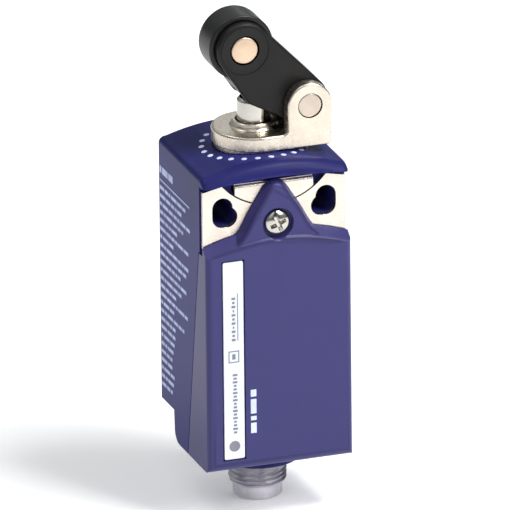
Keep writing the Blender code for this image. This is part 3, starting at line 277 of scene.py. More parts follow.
def prism(outline, low, high, axis, rim_low=0.0, rim_high=0.0, steps=5):
    """An extruded outline whose two rims can be rounded."""
    sections = []
    if rim_low > 0:
        for step in range(steps):
            angle = math.radians(90 * step / steps)
            sections.append((low + rim_low * (1 - math.cos(angle)),
                             inset(outline, rim_low * (1 - math.sin(angle)))))
    sections.append((low + rim_low, outline))
    sections.append((high - rim_high, outline))
    if rim_high > 0:
        for step in range(steps - 1, -1, -1):
            angle = math.radians(90 * step / steps)
            sections.append((high - rim_high * (1 - math.cos(angle)),
                             inset(outline, rim_high * (1 - math.sin(angle)))))
    return stack(sections, axis)


def box(x_range, y_range, z_range):
    outline = [(x_range[0], y_range[0]), (x_range[1], y_range[0]),
               (x_range[1], y_range[1]), (x_range[0], y_range[1])]
    return prism(outline, z_range[0], z_range[1], "Z")


def turned(profile, axis="Z", centre=(0, 0, 0), steps=64):
    """Turns a closed profile of (radius, along) points about an axis through centre."""
    bm = bmesh.new()
    rings = []
    for radius, along in profile:
        if radius <= 0:
            rings.append([bm.verts.new(spread(along, 0, 0, axis))])
        else:
            rings.append([bm.verts.new(spread(along, a, b, axis))
                          for a, b in circle((0, 0), radius, steps)])
    for index, ring in enumerate(rings):
        other = rings[(index + 1) % len(rings)]
        if len(ring) == 1 and len(other) == 1:
            continue
        for step in range(steps):
            corners = []
            for vert in (ring[step % len(ring)], ring[(step + 1) % steps % len(ring)],
                         other[(step + 1) % steps % len(other)], other[step % len(other)]):
                if vert not in corners:
                    corners.append(vert)
            bm.faces.new(corners)
    bmesh.ops.recalc_face_normals(bm, faces=bm.faces)
    bmesh.ops.translate(bm, verts=bm.verts, vec=centre)
    return bm


def rod(radius, low, high, axis="Z", centre=(0, 0, 0), steps=64):
    """A plain round solid, used as a pin or to cut a hole."""
    return turned([(0, low), (radius, low), (radius, high), (0, high)], axis, centre, steps)


def soft_profile(points, radius, steps=4):
    """Rounds the corners of a (radius, along) profile, except those on the axis."""
    rounded = []
    count = len(points)
    for index in range(count):
        here = Vector(points[index])
        before = Vector(points[index - 1]) - here
        after = Vector(points[(index + 1) % count]) - here
        reach = min(radius, before.length * 0.45, after.length * 0.45)
        if here.x <= 0 or reach < 0.02:
            rounded.append(tuple(here))
            continue
        start = here + before.normalized() * reach
        end = here + after.normalized() * reach
        for step in range(steps + 1):
            t = step / steps
            point = start * (1 - t) ** 2 + here * 2 * t * (1 - t) + end * t ** 2
            rounded.append(tuple(point))
    return rounded


# ---- objects ----------------------------------------------------------------------------
FLAT_ANGLE = math.radians(0.2)
NORMAL_WEIGHT = 90


def new_object(name, bm):
    mesh = bpy.data.meshes.new(name)
    bm.to_mesh(mesh)
    bm.free()
    made = bpy.data.objects.new(name, mesh)
    bpy.context.collection.objects.link(made)
    return made


def settle(target):
    """Replaces an object's mesh with what its modifiers make of it."""
    depsgraph = bpy.context.evaluated_depsgraph_get()
    mesh = bpy.data.meshes.new_from_object(target.evaluated_get(depsgraph))
    target.modifiers.clear()
    target.data = mesh


def combine(target, bm, operation):
    tool = new_object("tool", bm)
    modifier = target.modifiers.new("combine", "BOOLEAN")
    modifier.operation = operation
    modifier.solver = "EXACT"
    modifier.object = tool
    settle(target)
    bpy.data.objects.remove(tool, do_unlink=True)


def cut(target, bm):
    combine(target, bm, "DIFFERENCE")


def add(target, bm):
    combine(target, bm, "UNION")


def tidy_faces(target, merge=0.002):
    """Joins neighbouring flat faces so that a bevel meets clean edges."""
    bm = bmesh.new()
    bm.from_mesh(target.data)
    bmesh.ops.remove_doubles(bm, verts=bm.verts, dist=merge)
    bmesh.ops.dissolve_limit(bm, angle_limit=FLAT_ANGLE, verts=bm.verts, edges=bm.edges)
    bm.to_mesh(target.data)
    bm.free()


def mend(target, reach=0.004):
    """Closes the hairline slits that several cuts across one curved face leave."""
    bm = bmesh.new()
    bm.from_mesh(target.data)
    bmesh.ops.remove_doubles(bm, verts=bm.verts, dist=reach)
    bmesh.ops.dissolve_degenerate(bm, dist=reach, edges=bm.edges)
    bmesh.ops.holes_fill(bm, edges=[edge for edge in bm.edges if edge.is_boundary], sides=0)
    bm.to_mesh(target.data)
    bm.free()


def round_edges(target, width, segments, angle):
    """Bevels every edge sharper than an angle in degrees."""
    modifier = target.modifiers.new("round", "BEVEL")
    modifier.width = width
    modifier.segments = segments
    modifier.limit_method = "ANGLE"
    modifier.angle_limit = math.radians(angle)
    settle(target)


def place(target, body, finish, replaces=(), smooth=35):
    mesh = target.data
    mesh.transform(Matrix.Translation(ORIGIN) @ Matrix.Scale(MM, 4))
    mesh.shade_smooth()
    mesh.set_sharp_from_angle(angle=math.radians(smooth))
    modifier = target.modifiers.new("normals", "WEIGHTED_NORMAL")
    modifier.keep_sharp = True
    modifier.weight = NORMAL_WEIGHT
    settle(target)
    target.data.materials.clear()
    target.data.materials.append(finish)
    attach(target, body)
    if replaces:
        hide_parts(*replaces)
    return target


# ---- materials --------------------------------------------------------------------------
PLASTIC = 0.0
METAL = 1.0
GRAIN_DEPTH = 0.00002
# how pointed an edge is where its painted highlight starts, and where it is full
EDGE_HIGHLIGHT_START, EDGE_HIGHLIGHT_FULL, EDGE_HIGHLIGHT_SHARE = 0.53, 0.62, 0.8


def linear(red, green, blue):
    """An sRGB colour of 0 to 255 as linear values."""
    return tuple((value / 255 / 12.92) if value / 255 <= 0.04045
                 else ((value / 255 + 0.055) / 1.055) ** 2.4 for value in (red, green, blue))


def shade(colour, factor):
    """A colour made lighter or darker, with full alpha."""
    return tuple(min(1.0, value * factor) for value in colour) + (1,)


def noise(nodes, links, coordinates, scale, detail=3.0, stretch=(1, 1, 1)):
    mapping = nodes.new("ShaderNodeMapping")
    mapping.inputs["Scale"].default_value = stretch
    links.new(coordinates, mapping.inputs["Vector"])
    texture = nodes.new("ShaderNodeTexNoise")
    texture.inputs["Scale"].default_value = scale
    texture.inputs["Detail"].default_value = detail
    links.new(mapping.outputs["Vector"], texture.inputs["Vector"])
    return texture.outputs["Fac"]


def ramp(nodes, links, source, low, high, start=0.35, end=0.65):
    """Maps a noise value to a colour between two colours."""
    made = nodes.new("ShaderNodeValToRGB")
    made.color_ramp.elements[0].position = start
    made.color_ramp.elements[0].color = low
    made.color_ramp.elements[1].position = end
    made.color_ramp.elements[1].color = high
    links.new(source, made.inputs["Fac"])
    return made.outputs["Color"]


def spread_value(nodes, links, source, low, high):
    """Maps a noise value to a number between two limits."""
    made = nodes.new("ShaderNodeMapRange")
    made.inputs["From Min"].default_value = 0.3
    made.inputs["From Max"].default_value = 0.7
    made.inputs["To Min"].default_value = low
    made.inputs["To Max"].default_value = high
    links.new(source, made.inputs["Value"])
    return made.outputs["Result"]


def finish(name, colour, rough, metallic=PLASTIC, vary=0.12, rough_vary=0.08, patch=220.0,
           grain=4000.0, bump=0.25, stretch=(1, 1, 1), specular=0.5, edge=0.0):
    """A procedural surface: blotches of tone, uneven gloss, a fine grain and a painted highlight on its sharp
    edges.
    """
    made = bpy.data.materials.new(name)
    made.use_nodes = True
    nodes = made.node_tree.nodes
    links = made.node_tree.links
    shader = nodes["Principled BSDF"]
    coordinates = nodes.new("ShaderNodeTexCoord").outputs["Object"]
    broad = noise(nodes, links, coordinates, patch)
    fine = noise(nodes, links, coordinates, grain, 2.0, stretch)
    tone = ramp(nodes, links, broad, shade(colour, 1 - vary), shade(colour, 1 + vary))
    # painted highlight: sharp edges are mixed towards a lighter colour, standing in for the light they catch
    if edge > 0:
        painted_edge_highlight = nodes.new("ShaderNodeMix")
        painted_edge_highlight.data_type = "RGBA"
        painted_edge_highlight.inputs["B"].default_value = shade(colour, 1 + edge)
        links.new(tone, painted_edge_highlight.inputs["A"])
        geometry = nodes.new("ShaderNodeNewGeometry")
        edge_highlight_mask = nodes.new("ShaderNodeMapRange")
        edge_highlight_mask.inputs["From Min"].default_value = EDGE_HIGHLIGHT_START
        edge_highlight_mask.inputs["From Max"].default_value = EDGE_HIGHLIGHT_FULL
        edge_highlight_mask.inputs["To Max"].default_value = EDGE_HIGHLIGHT_SHARE
        links.new(geometry.outputs["Pointiness"], edge_highlight_mask.inputs["Value"])
        links.new(edge_highlight_mask.outputs["Result"], painted_edge_highlight.inputs["Factor"])
        tone = painted_edge_highlight.outputs["Result"]
    links.new(tone, shader.inputs["Base Color"])
    links.new(spread_value(nodes, links, fine, rough - rough_vary, rough + rough_vary),
              shader.inputs["Roughness"])
    relief = nodes.new("ShaderNodeBump")
    relief.inputs["Strength"].default_value = bump
    relief.inputs["Distance"].default_value = GRAIN_DEPTH
    links.new(fine, relief.inputs["Height"])
    links.new(relief.outputs["Normal"], shader.inputs["Normal"])
    shader.inputs["Metallic"].default_value = metallic
    shader.inputs["Specular IOR Level"].default_value = specular
    return made


# edge= sets the strength of each finish's painted highlight along its sharp edges
FINISHES = {
    # the body's blue is partly its own colour and partly painted shade: darker than the cover so that its sides,
    # holes and recess look shadowed
    "body_moulding": finish("violet_blue_moulding_with_painted_shade", linear(36, 37, 92), 0.35, PLASTIC, 0.05, 0.06,
                            edge=0.5, specular=0.07),
    "cover_moulding": finish("violet_blue_cover", linear(48, 46, 90), 0.36, PLASTIC, 0.04, 0.06,
                             edge=0.5, specular=0.22),
    "plated_steel": finish("zinc_plated_steel", linear(222, 211, 200), 0.32, METAL, 0.06, 0.08,
                           grain=900.0, stretch=(1, 1, 9), bump=0.12),
    "bright_steel": finish("bright_steel", linear(190, 187, 180), 0.12, METAL, 0.05, 0.06,
                           grain=1500.0, stretch=(1, 1, 8), bump=0.1),
    "zinc_casting": finish("zinc_casting", linear(212, 202, 188), 0.3, METAL, 0.05, 0.05,
                           grain=1500.0, bump=0.06, edge=0.15),
    "pin_steel": finish("pin_steel", linear(208, 184, 160), 0.36, METAL, 0.08, 0.08,
                        grain=1800.0, stretch=(1, 0.1, 1), bump=0.15),
    "brass": finish("brass", linear(200, 160, 88), 0.3, METAL, 0.08),
    "copper_alloy": finish("copper_alloy", linear(206, 140, 100), 0.32, METAL, 0.1),
    "gold_contact": finish("gold_plating", linear(232, 190, 96), 0.24, METAL, 0.06),
    "nickel_shell": finish("dull_nickel_plating", linear(204, 201, 206), 0.42, METAL, 0.1, 0.1,
                           grain=2400.0, bump=0.25, edge=0.2),
    "lever_moulding": finish("black_lever_moulding", linear(19, 18, 18), 0.42, PLASTIC, 0.2,
                             edge=0.9, specular=0.25),
    "roller_moulding": finish("black_roller_acetal", linear(18, 18, 18), 0.36, PLASTIC, 0.2,
                              edge=0.9, stretch=(0.2, 3, 0.2), specular=0.35),
    "rubber": finish("black_rubber", linear(28, 28, 30), 0.7, PLASTIC, 0.25, bump=0.5),
    "label_film": finish("white_label_film", linear(218, 222, 234), 0.42, PLASTIC, 0.03, 0.06,
                         bump=0.1),
    "block_moulding": finish("cream_moulding", linear(222, 214, 190), 0.55),
    "carrier_moulding": finish("red_moulding", linear(170, 52, 44), 0.5),
    "black_moulding": finish("black_moulding", linear(34, 34, 36), 0.55, PLASTIC, 0.2),
    "wire_insulation": finish("brown_wire_insulation", linear(126, 82, 56), 0.5),
}
INK = finish("grey_label_ink", linear(120, 122, 132), 0.5, PLASTIC, 0.1, bump=0.1)
PRINT = finish("pale_print", linear(176, 186, 226), 0.5, PLASTIC, 0.12, bump=0.15)
DOTS = finish("white_print", linear(206, 214, 250), 0.45, PLASTIC, 0.05, bump=0.15)
RIVET = finish("cast_rivet", linear(200, 186, 174), 0.36, METAL, 0.06, 0.06, grain=1800.0, bump=0.1)


# ---- housing ----------------------------------------------------------------------------
def fixing_holes(front, back):
    """Cutters for both sides: an upright slot joined to a round hole that is a hair smaller."""
    cutters = []
    for side in (-1, 1):
        slot_x = side * SLOT_X
        slot = arc((slot_x, HOLE_Z), HOLE_RADIUS, 180, 360, 20)
        slot += arc((slot_x, HOLE_Z + SLOT_RISE), HOLE_RADIUS, 0, 180, 20)
        cutters.append(prism(slot, front, back, "Y"))
        cutters.append(prism(circle((side * HOLE_X, HOLE_Z), HOLE_RADIUS - 0.002, 48),
                             front - 0.1, back + 0.1, "Y"))
    return cutters


def housing_section(draw_in, drop):
    """The body's outline from the front, drawn in at the sides and lowered along the roof."""
    corner = BODY_CORNER
    half = HALF_WIDTH - draw_in
    tilt = math.degrees(math.asin((half - corner) / ROOF_RADIUS))
    reach = half - corner
    centre_z = roof_height(reach) - drop - corner * math.cos(math.radians(tilt))
    outline = [(-half, BELOW), (half, BELOW)]
    outline += arc((reach, centre_z), corner, 0, 90 - tilt, 8)
    steps = 48
    for step in range(1, steps):
        x = reach - 2 * reach * step / steps
        outline.append((x, roof_height(x) - drop))
    outline += arc((-reach, centre_z), corner, 90 + tilt, 180, 8)
    return outline


def rounding(radius, depth):
    """How far a rounded edge draws in at a depth behind the face it starts from."""
    gone = max(0.0, radius - depth)
    return radius - math.sqrt(max(0.0, radius ** 2 - gone ** 2))


def make_housing():
    corner = BODY_CORNER
    sections = []
    for step in range(17):
        depth = BROW_RADIUS * (1 - math.cos(math.radians(90 * step / 16)))
        sections.append((BROW_FRONT + depth, housing_section(rounding(corner, depth),
                                                             rounding(BROW_RADIUS, depth))))
    for step in range(8, -1, -1):
        depth = corner * (1 - math.cos(math.radians(90 * step / 8)))
        sections.append((BACK - depth, housing_section(rounding(corner, depth),
                                                       rounding(corner, depth))))
    body = new_object("housing_body", stack(sections, "Y"))
    knuckle = (STEP_PLACE - GAP - KNUCKLE_RADIUS, KNUCKLE_RADIUS)
    heel = HEEL_RADIUS
    profile = [(-SEAM_LOW, 0)] + arc(knuckle, KNUCKLE_RADIUS, 270, 360, 12)
    profile += [(STEP_PLACE, STEP_HEIGHT)]
    profile += arc((BACK - heel, STEP_HEIGHT + heel), heel, 270, 358, 8)
    profile += [(BACK + BEYOND, STEP_HEIGHT + heel), (BACK + BEYOND, CROWN + BEYOND),
                (FRONT - BEYOND, CROWN + BEYOND), (FRONT - BEYOND, CEILING),
                (seam_y(CEILING), CEILING)]
    combine(body, prism(profile, -FAR, FAR, "X"), "INTERSECT")
    recess = [(-FAR, CEILING - WALL), (FAR, CEILING - WALL)]
    recess += arched(-FAR, FAR, BROW_LOW, BROW_FALL, 60)
    cut(body, prism(recess, FRONT - WALL, PLATE_HIGH.y + GAP, "Y"))
    boss = soft_profile([(0, BOSS_FOOT), (BOSS_RADIUS, BOSS_FOOT), (BOSS_RADIUS, 5), (0, 5)], 0.7)
    add(body, turned(boss, steps=96))
    rear = arc((0, 0), BOSS_RADIUS - 0.3, 0, 180, 48)
    add(body, prism(rear, FLOOR, STEP_HEIGHT + WALL / 2, "Z"))
    slope = STEP_PLACE - WALL
    chamber = [(FRONT, FLOOR), (slope - KNUCKLE_RADIUS / 2, FLOOR), (slope, STEP_HEIGHT + WALL),
               (BACK - WALL, STEP_HEIGHT + WALL), (BACK - WALL, CEILING + GAP),
               (FRONT, CEILING + GAP)]
    cut(body, prism(chamber, -HALF_WIDTH + WALL, HALF_WIDTH - WALL, "X"))
    for cutter in fixing_holes(FRONT, BACK + WALL):
        cut(body, cutter)
    slide = LOCK_HIGH.x + GAP
    cut(body, box((-slide, slide), (FRONT, LOCK_HIGH.y + GAP),
                  (LOCK_HIGH.z - LOCK_THICKNESS - GAP, LOCK_HIGH.z + GAP)))
    bore = PLUNGER_RADIUS + GAP
    stem = 2.3
    spigot = [(0, CEILING - WALL), (stem, CEILING - WALL), (stem, CEILING + 2.5),
              (bore, CEILING + 2.5), (bore, SPIGOT_FOOT), (SPIGOT_RADIUS + GAP, SPIGOT_FOOT),
              (SPIGOT_RADIUS + GAP, CROWN + WALL), (0, CROWN + WALL)]
    cut(body, turned(spigot, steps=96))
    cut(body, rod(INSERT_BORE, FRONT, INSERT_HIGH.y + GAP, "Y", (0, 0, SCREW_Z), 32))
    cut(body, rod(NUT_FLATS / math.sqrt(3) + GAP, FLOOR + GAP / 2, NUT_TOP))
    flange_room, shell_room, shell_top = 7.5, THREAD_RADIUS + GAP, 5.4
    shell = [(0, BELOW), (flange_room, BELOW), (flange_room, 0), (shell_room, 0),
             (shell_room, shell_top), (0, shell_top)]
    cut(body, turned(shell, steps=64))
    tidy_faces(body)
    round_edges(body, 0.22, 2, 40)
    place(body, "housing", FINISHES["body_moulding"], ["housing"], 30)


# ---- cover ------------------------------------------------------------------------------
TONGUE_TIP = CROWN - 4.0
TONGUE_FLANK = ((12.5, 14.9), (10.4, 12.9), (8.8, 11.6), (7.7, 10.3), (6.7, 8.6), (5.7, 6.7),
                (4.6, 4.9), (3.6, 3.35), (2.75, 1.95), (1.9, 0.85), (1.0, 0.2))
TONGUE_LEAN = 0.7
TONGUE_EDGE = ((0, 1.3), (0.05, 1.05), (0.18, 0.84), (0.4, 0.68), (0.75, 0.55))
RIDGE_EDGE = ((0, -0.45), (0.05, -0.2), (0.18, 0.02), (0.45, 0.32))
COVER_CORNER = 1.3
COVER_TOE = 2.0


def smooth_curve(points, per_span=4):
    """Catmull-Rom curve through (a, b) points."""
    knots = [Vector(point) for point in points]
    knots = [2 * knots[0] - knots[1]] + knots + [2 * knots[-1] - knots[-2]]
    curve = []
    for before, start, end, after in zip(knots, knots[1:], knots[2:], knots[3:]):
        for step in range(per_span):
            t = step / per_span
            point = 2 * start + (end - before) * t
            point += (2 * before - 5 * start + 4 * end - after) * t ** 2
            point += (3 * start - before - 3 * end + after) * t ** 3
            curve.append(tuple(point / 2))
    return curve + [tuple(knots[-2])]


def tongue_outline(shrink, low):
    """Bell shape over a height, drawn in along its curved edge only."""
    right = smooth_curve([(x, TONGUE_TIP - fall) for x, fall in TONGUE_FLANK])
    curve = right + [(0, TONGUE_TIP)] + [(-x, z) for x, z in reversed(right)]
    drawn = []
    for index, (x, z) in enumerate(curve):
        before = Vector(curve[max(index - 1, 0)])
        after = Vector(curve[min(index + 1, len(curve) - 1)])
        along = (after - before).normalized()
        drawn.append((x - along.y * shrink, z + along.x * shrink))
    return [(drawn[-1][0], low), (drawn[0][0], low)] + drawn


def make_cover():
    top = CEILING - GAP
    side = arc((FRONT + COVER_TOE, COVER_TOE), COVER_TOE, 180, 270, 10)
    side += [(seam_y(0) - GAP, 0), (seam_y(top) - GAP, top), (FRONT, top)]
    cover = new_object("cover_shell", prism(side, -FAR, FAR, "X"))
    slab_back = PLATE_LOW.y - GAP
    low = CEILING - 8
    rises = [(FRONT + depth, rise) for depth, rise in RIDGE_EDGE] + [(slab_back, SHOULDER)]
    ridge = [(y, [(-FAR, low), (FAR, low)] + arched(-FAR, FAR, RIDGE + rise, RIDGE_FALL, 64))
             for y, rise in rises]
    add(cover, stack(ridge, "Y"))
    soft = COVER_CORNER
    plan = [(HALF_WIDTH, BACK), (-HALF_WIDTH, BACK)]
    plan += arc((-HALF_WIDTH + soft, FRONT + soft), soft, 180, 270, 8)
    plan += arc((HALF_WIDTH - soft, FRONT + soft), soft, 270, 360, 8)
    combine(cover, prism(plan, -WALL, CROWN, "Z"), "INTERSECT")
    face = FRONT + 0.35
    sections = [(face + depth, shrink) for depth, shrink in TONGUE_EDGE] + [(slab_back, 0)]
    tongue = stack([(y, tongue_outline(shrink, low)) for y, shrink in sections], "Y")
    for vert in tongue.verts:
        rise = max(0.0, (vert.co.z - RIDGE) / (TONGUE_TIP - RIDGE))
        vert.co.y += TONGUE_LEAN * rise * (slab_back - vert.co.y) / (slab_back - face)
    add(cover, tongue)
    inner_top = CEILING - WALL
    inner = FRONT + WALL
    hollow = [(inner, WALL), (BACK, WALL), (BACK, inner_top), (inner, inner_top)]
    cut(cover, prism(hollow, -HALF_WIDTH + WALL, HALF_WIDTH - WALL, "X"))
    cut(cover, rod(BOSS_RADIUS + GAP, -WALL, 2 * WALL, steps=96))
    sink = SCREW_HIGH.x + 2 * GAP
    floor = FRONT + 1.6
    hole = [(0, FRONT - WALL), (sink + 0.3, FRONT - WALL), (sink + 0.3, FRONT - 0.03),
            (sink, FRONT + 0.3), (sink, floor), (SCREW_HOLE, floor), (SCREW_HOLE, PLATE_LOW.y),
            (0, PLATE_LOW.y)]
    cut(cover, turned(hole, "Y", (0, 0, SCREW_Z), 48))
    cut(cover, box((LABEL_LOW.x - GAP, LABEL_HIGH.x + GAP), (FRONT - WALL, FRONT + 0.6),
                   (LABEL_LOW.z - GAP, LABEL_HIGH.z + GAP)))
    tidy_faces(cover)
    round_edges(cover, 0.14, 2, 40)
    place(cover, "cover", FINISHES["cover_moulding"], ["front_cover"], 30)


def join(name, pieces):
    """One object from several separate closed bodies."""
    bm = bmesh.new()
    for piece in pieces:
        mesh = bpy.data.meshes.new("part")
        piece.to_mesh(mesh)
        piece.free()
        bm.from_mesh(mesh)
        bpy.data.meshes.remove(mesh)
    return new_object(name, bm)


# places along the label, as shares of its length
DISC_PLACE = 0.065
LONG_TICKS = (0.13, 0.44)
SHORT_TICKS = (0.60, 0.83)
RULE_SPAN = (0.60, 0.84)
FRAME_SPAN = (0.49, 0.55)
DASH_PLACE = 0.12
DASH_LENGTHS = (2.2, 0.9, 3.1, 1.5)


def make_label():
    """The white strip with generic marks on it, and pale dashes on the cover beside it."""
    left, right = LABEL_LOW.x, LABEL_HIGH.x
    foot, top = LABEL_LOW.z, LABEL_HIGH.z
    soft = 0.35
    outline = arc((left + soft, foot + soft), soft, 180, 270, 5)
    outline += arc((right - soft, foot + soft), soft, 270, 360, 5)
    outline += arc((right - soft, top - soft), soft, 0, 90, 5)
    outline += arc((left + soft, top - soft), soft, 90, 180, 5)
    film = new_object("label_film", prism(outline, FRONT, FRONT + 0.3, "Y", 0.06, 0))
    place(film, "cover", FINISHES["label_film"], ["label_strip"])
    middle = (left + right) / 2
    skin = (FRONT - MARK_LIFT, FRONT + 0.05)
    length = top - foot
    half = 1.15
    marks = [prism(circle((middle, foot + length * DISC_PLACE), half, 32), skin[0], skin[1], "Y")]

    def ticks(offset, span, count, reaches):
        """A column of short bars between two places along the label."""
        pitch = length * (span[1] - span[0]) / count
        for index in range(count):
            z = foot + length * span[0] + pitch * index
            reach = reaches[index % len(reaches)]
            marks.append(box((middle + offset - reach, middle + offset + reach), skin,
                             (z, z + pitch * 0.55)))

    ticks(0.2, LONG_TICKS, 17, (0.35, 0.5, 0.35, 0.28, 0.5))
    ticks(0.0, SHORT_TICKS, 11, (0.4, 0.25, 0.4, 0.15))
    marks.append(box((middle + 0.8, middle + 0.98), skin,
                     (foot + length * RULE_SPAN[0], foot + length * RULE_SPAN[1])))
    frame_low, frame_high = (foot + length * share for share in FRAME_SPAN)
    line = 0.22
    for z in (frame_low, frame_high - line):
        marks.append(box((middle - half, middle + half), skin, (z, z + line)))
    for x in (middle - half, middle + half - line):
        marks.append(box((x, x + line), skin, (frame_low + line + 0.01, frame_high - line - 0.01)))
    marks.append(box((middle - 0.35, middle + 0.35), skin, (frame_low + 0.7, frame_high - 0.7)))
    place(join("label_marks", marks), "cover", INK)
    dashes = []
    z = foot + length * DASH_PLACE
    for reach in DASH_LENGTHS:
        dashes.append(box((right + 1.35, right + 2.55), skin, (z, z + reach)))
        z += reach + 0.55
    place(join("cover_dashes", dashes), "cover", DOTS)


def make_cover_screw():
    head_back = FRONT + 1.5
    head_front = head_back - 1.3
    radius = SCREW_HIGH.x
    dome = [(0, head_front)]
    for step in range(1, 9):
        angle = math.radians(90 * step / 8)
        dome.append((radius * math.sin(angle * 0.98), head_front + 1.1 * (1 - math.cos(angle))))
    tip = head_back + 8
    profile = dome + [(radius, head_back), (SCREW_SHANK, head_back), (SCREW_SHANK, tip), (0, tip)]
    screw = new_object("cover_screw_head", turned(profile, "Y", (0, 0, SCREW_Z), 48))
    angle = math.radians(CROSS_TURN)
    for upright in (False, True):
        arm = []
        for depth, half, reach in CROSS_SECTIONS:
            corners = [(-reach, -half), (reach, -half), (reach, half), (-reach, half)]
            if upright:
                corners = [(-b, a) for a, b in corners]
            arm.append((head_front + depth,
                        [(a * math.cos(angle) - b * math.sin(angle),
                          SCREW_Z + a * math.sin(angle) + b * math.cos(angle))
                         for a, b in corners]))
        cut(screw, stack(arm, "Y"))
    round_edges(screw, 0.06, 2, 45)
    place(screw, "cover", FINISHES["bright_steel"], ["cover_screw"])


# ---- front plate and lock ---------------------------------------------------------------
def hollow_arc(radius, reach, steps):
    """The arc below the head, over an angle to both sides of straight down."""
    return arc((0, LOCK_HIGH.z + ARC_RISE), radius, 270 - reach, 270 + reach, steps)


def make_front_plate():
    half = PLATE_HIGH.x
    low = PLATE_LOW.z
    shoulder = LOCK_HIGH.z - 0.8
    reach = math.degrees(math.acos(ARC_RISE / ARC_RADIUS))
    outline = [(-half, low), (half, low), (half, shoulder), (ARC_EDGE, LOCK_HIGH.z)]
    outline += list(reversed(hollow_arc(ARC_RADIUS, reach, 32)))
    outline += [(-ARC_EDGE, LOCK_HIGH.z), (-half, shoulder)]
    plate = new_object("steel_plate", prism(outline, PLATE_LOW.y, PLATE_HIGH.y, "Y"))
    for cutter in fixing_holes(PLATE_LOW.y - WALL, PLATE_HIGH.y + WALL):
        cut(plate, cutter)
    cut(plate, rod(SCREW_HOLE, PLATE_LOW.y - 1, PLATE_HIGH.y + 1, "Y", (0, 0, SCREW_Z), 32))
    tidy_faces(plate)
    round_edges(plate, 0.16, 3, 40)
    place(plate, "housing", FINISHES["plated_steel"], ["front_plate"])


def make_head_lock():
    half = LOCK_HIGH.x
    top = LOCK_HIGH.z
    radius = ARC_RADIUS - GAP
    lip = hollow_arc(radius, math.degrees(math.asin(half / radius)), 28)
    lip += [(half, top - 0.7), (-half, top - 0.7)]
    lock = new_object("lock_fork", prism(lip, PLATE_LOW.y, PLATE_HIGH.y, "Y"))
    core = LOCK_BORE
    fork = [(-half, PLATE_LOW.y + 0.5), (half, PLATE_LOW.y + 0.5), (half, LOCK_HIGH.y),
            (core, LOCK_HIGH.y)]
    fork += arc((0, 0), core, 360, 180, 32)
    fork += [(-core, LOCK_HIGH.y), (-half, LOCK_HIGH.y)]
    add(lock, prism(fork, top - LOCK_THICKNESS, top, "Z"))
    curl = 0.9
    bend = arc((PLATE_LOW.y + curl, top - curl), curl, 90, 180, 8)
    bend += [(PLATE_LOW.y, top - 1.5), (PLATE_HIGH.y, top - 1.5), (PLATE_HIGH.y, top)]
    add(lock, prism(bend, -half + 0.01, half - 0.01, "X"))
    tidy_faces(lock, 0.0001)
    round_edges(lock, 0.18, 3, 40)
    place(lock, "housing", FINISHES["plated_steel"], ["head_lock"])


# ---- head -------------------------------------------------------------------------------
def make_head():
    seat = CROWN + GAP
    outline = arc((0, 0), HEAD_RADIUS, 90, 270, 48)
    soft = 0.9
    end = HEAD_HIGH.x
    outline += arc((end - soft, -HEAD_RADIUS + soft), soft, 270, 360, 6)
    outline += arc((end - soft, HEAD_RADIUS - soft), soft, 0, 90, 6)
    head = new_object("head_casting", prism(outline, seat, HEAD_TOP, "Z", 0.25, 0.55))
    left = PIVOT.x - EAR_RADIUS
    right = PIVOT.x + EAR_RADIUS
    fillet = 1.3
    foot = HEAD_TOP - 0.8
    ear = [(left - fillet, foot), (right, foot)]
    ear += arc((PIVOT.x, PIVOT.z), EAR_RADIUS, 0, 180, 40)
    ear += arc((left - fillet, HEAD_TOP - 0.02 + fillet), fillet, 0, -85, 10)
    for side in (-1, 1):
        y_range = sorted((side * EAR_INNER, side * HEAD_RADIUS))
        add(head, prism(ear, y_range[0], y_range[1], "Y", 0.4, 0.4))
    cut(head, rod(PIVOT_BORE, -10, 10, "Y", (PIVOT.x, 0, PIVOT.z)))
    boss = PLUNGER_RADIUS + 1.1
    low = SPIGOT_FOOT + GAP
    lock_groove, ring_groove = 6.3, 6.9
    spigot = [(0, low), (SPIGOT_RADIUS, low), (SPIGOT_RADIUS, 58.7), (lock_groove, 58.7),
              (lock_groove, 60.7), (SPIGOT_RADIUS, 60.7), (SPIGOT_RADIUS, 62.5),
              (ring_groove, 62.5), (ring_groove, 64.1), (SPIGOT_RADIUS, 64.1),
              (SPIGOT_RADIUS, seat + 1.5), (boss + 0.6, seat + 1.5),
              (boss + 0.6, HEAD_TOP - 0.1), (boss + 0.15, HEAD_TOP + 0.25),
              (boss, HEAD_TOP + 0.6), (boss, HEAD_TOP + 1.1), (boss - 0.2, HEAD_TOP + 1.3),
              (0, HEAD_TOP + 1.3)]
    add(head, turned(spigot, steps=96))
    inner = PLUNGER_RADIUS + GAP
    bore = [(0, 55), (inner, 55), (inner, seat + 0.3), (inner + 0.9, seat + 0.3),
            (inner + 0.9, seat + 2.3), (inner, seat + 2.3), (inner, HEAD_TOP + 1.1),
            (inner + 0.25, HEAD_TOP + 1.4), (inner + 0.25, HEAD_TOP + 4), (0, HEAD_TOP + 4)]
    cut(head, turned(bore, steps=96))
    place(head, "head", FINISHES["zinc_casting"], ["head_base"], 32)
    half = HEAD_RADIUS - 0.15
    radius = PIVOT_PIN_RADIUS
    profile = soft_profile([(0, -half), (radius, -half), (radius, half), (0, half)], 0.3)
    pin = new_object("pivot_rivet", turned(profile, "Y", (PIVOT.x, 0, PIVOT.z)))
    place(pin, "head", RIVET, ["pivot_pin"])


def make_plunger():
    top = PLUNGER_HIGH.z
    profile = [(0, CEILING - 2), (2, CEILING - 2), (2, CROWN - 7), (PLUNGER_RADIUS, CROWN - 7),
               (PLUNGER_RADIUS, top - 0.6), (PLUNGER_RADIUS - 0.6, top), (0, top)]
    rod = new_object("plunger_rod", turned(soft_profile(profile, 0.15, 3), steps=96))
    place(rod, "plunger", FINISHES["bright_steel"], ["plunger"])


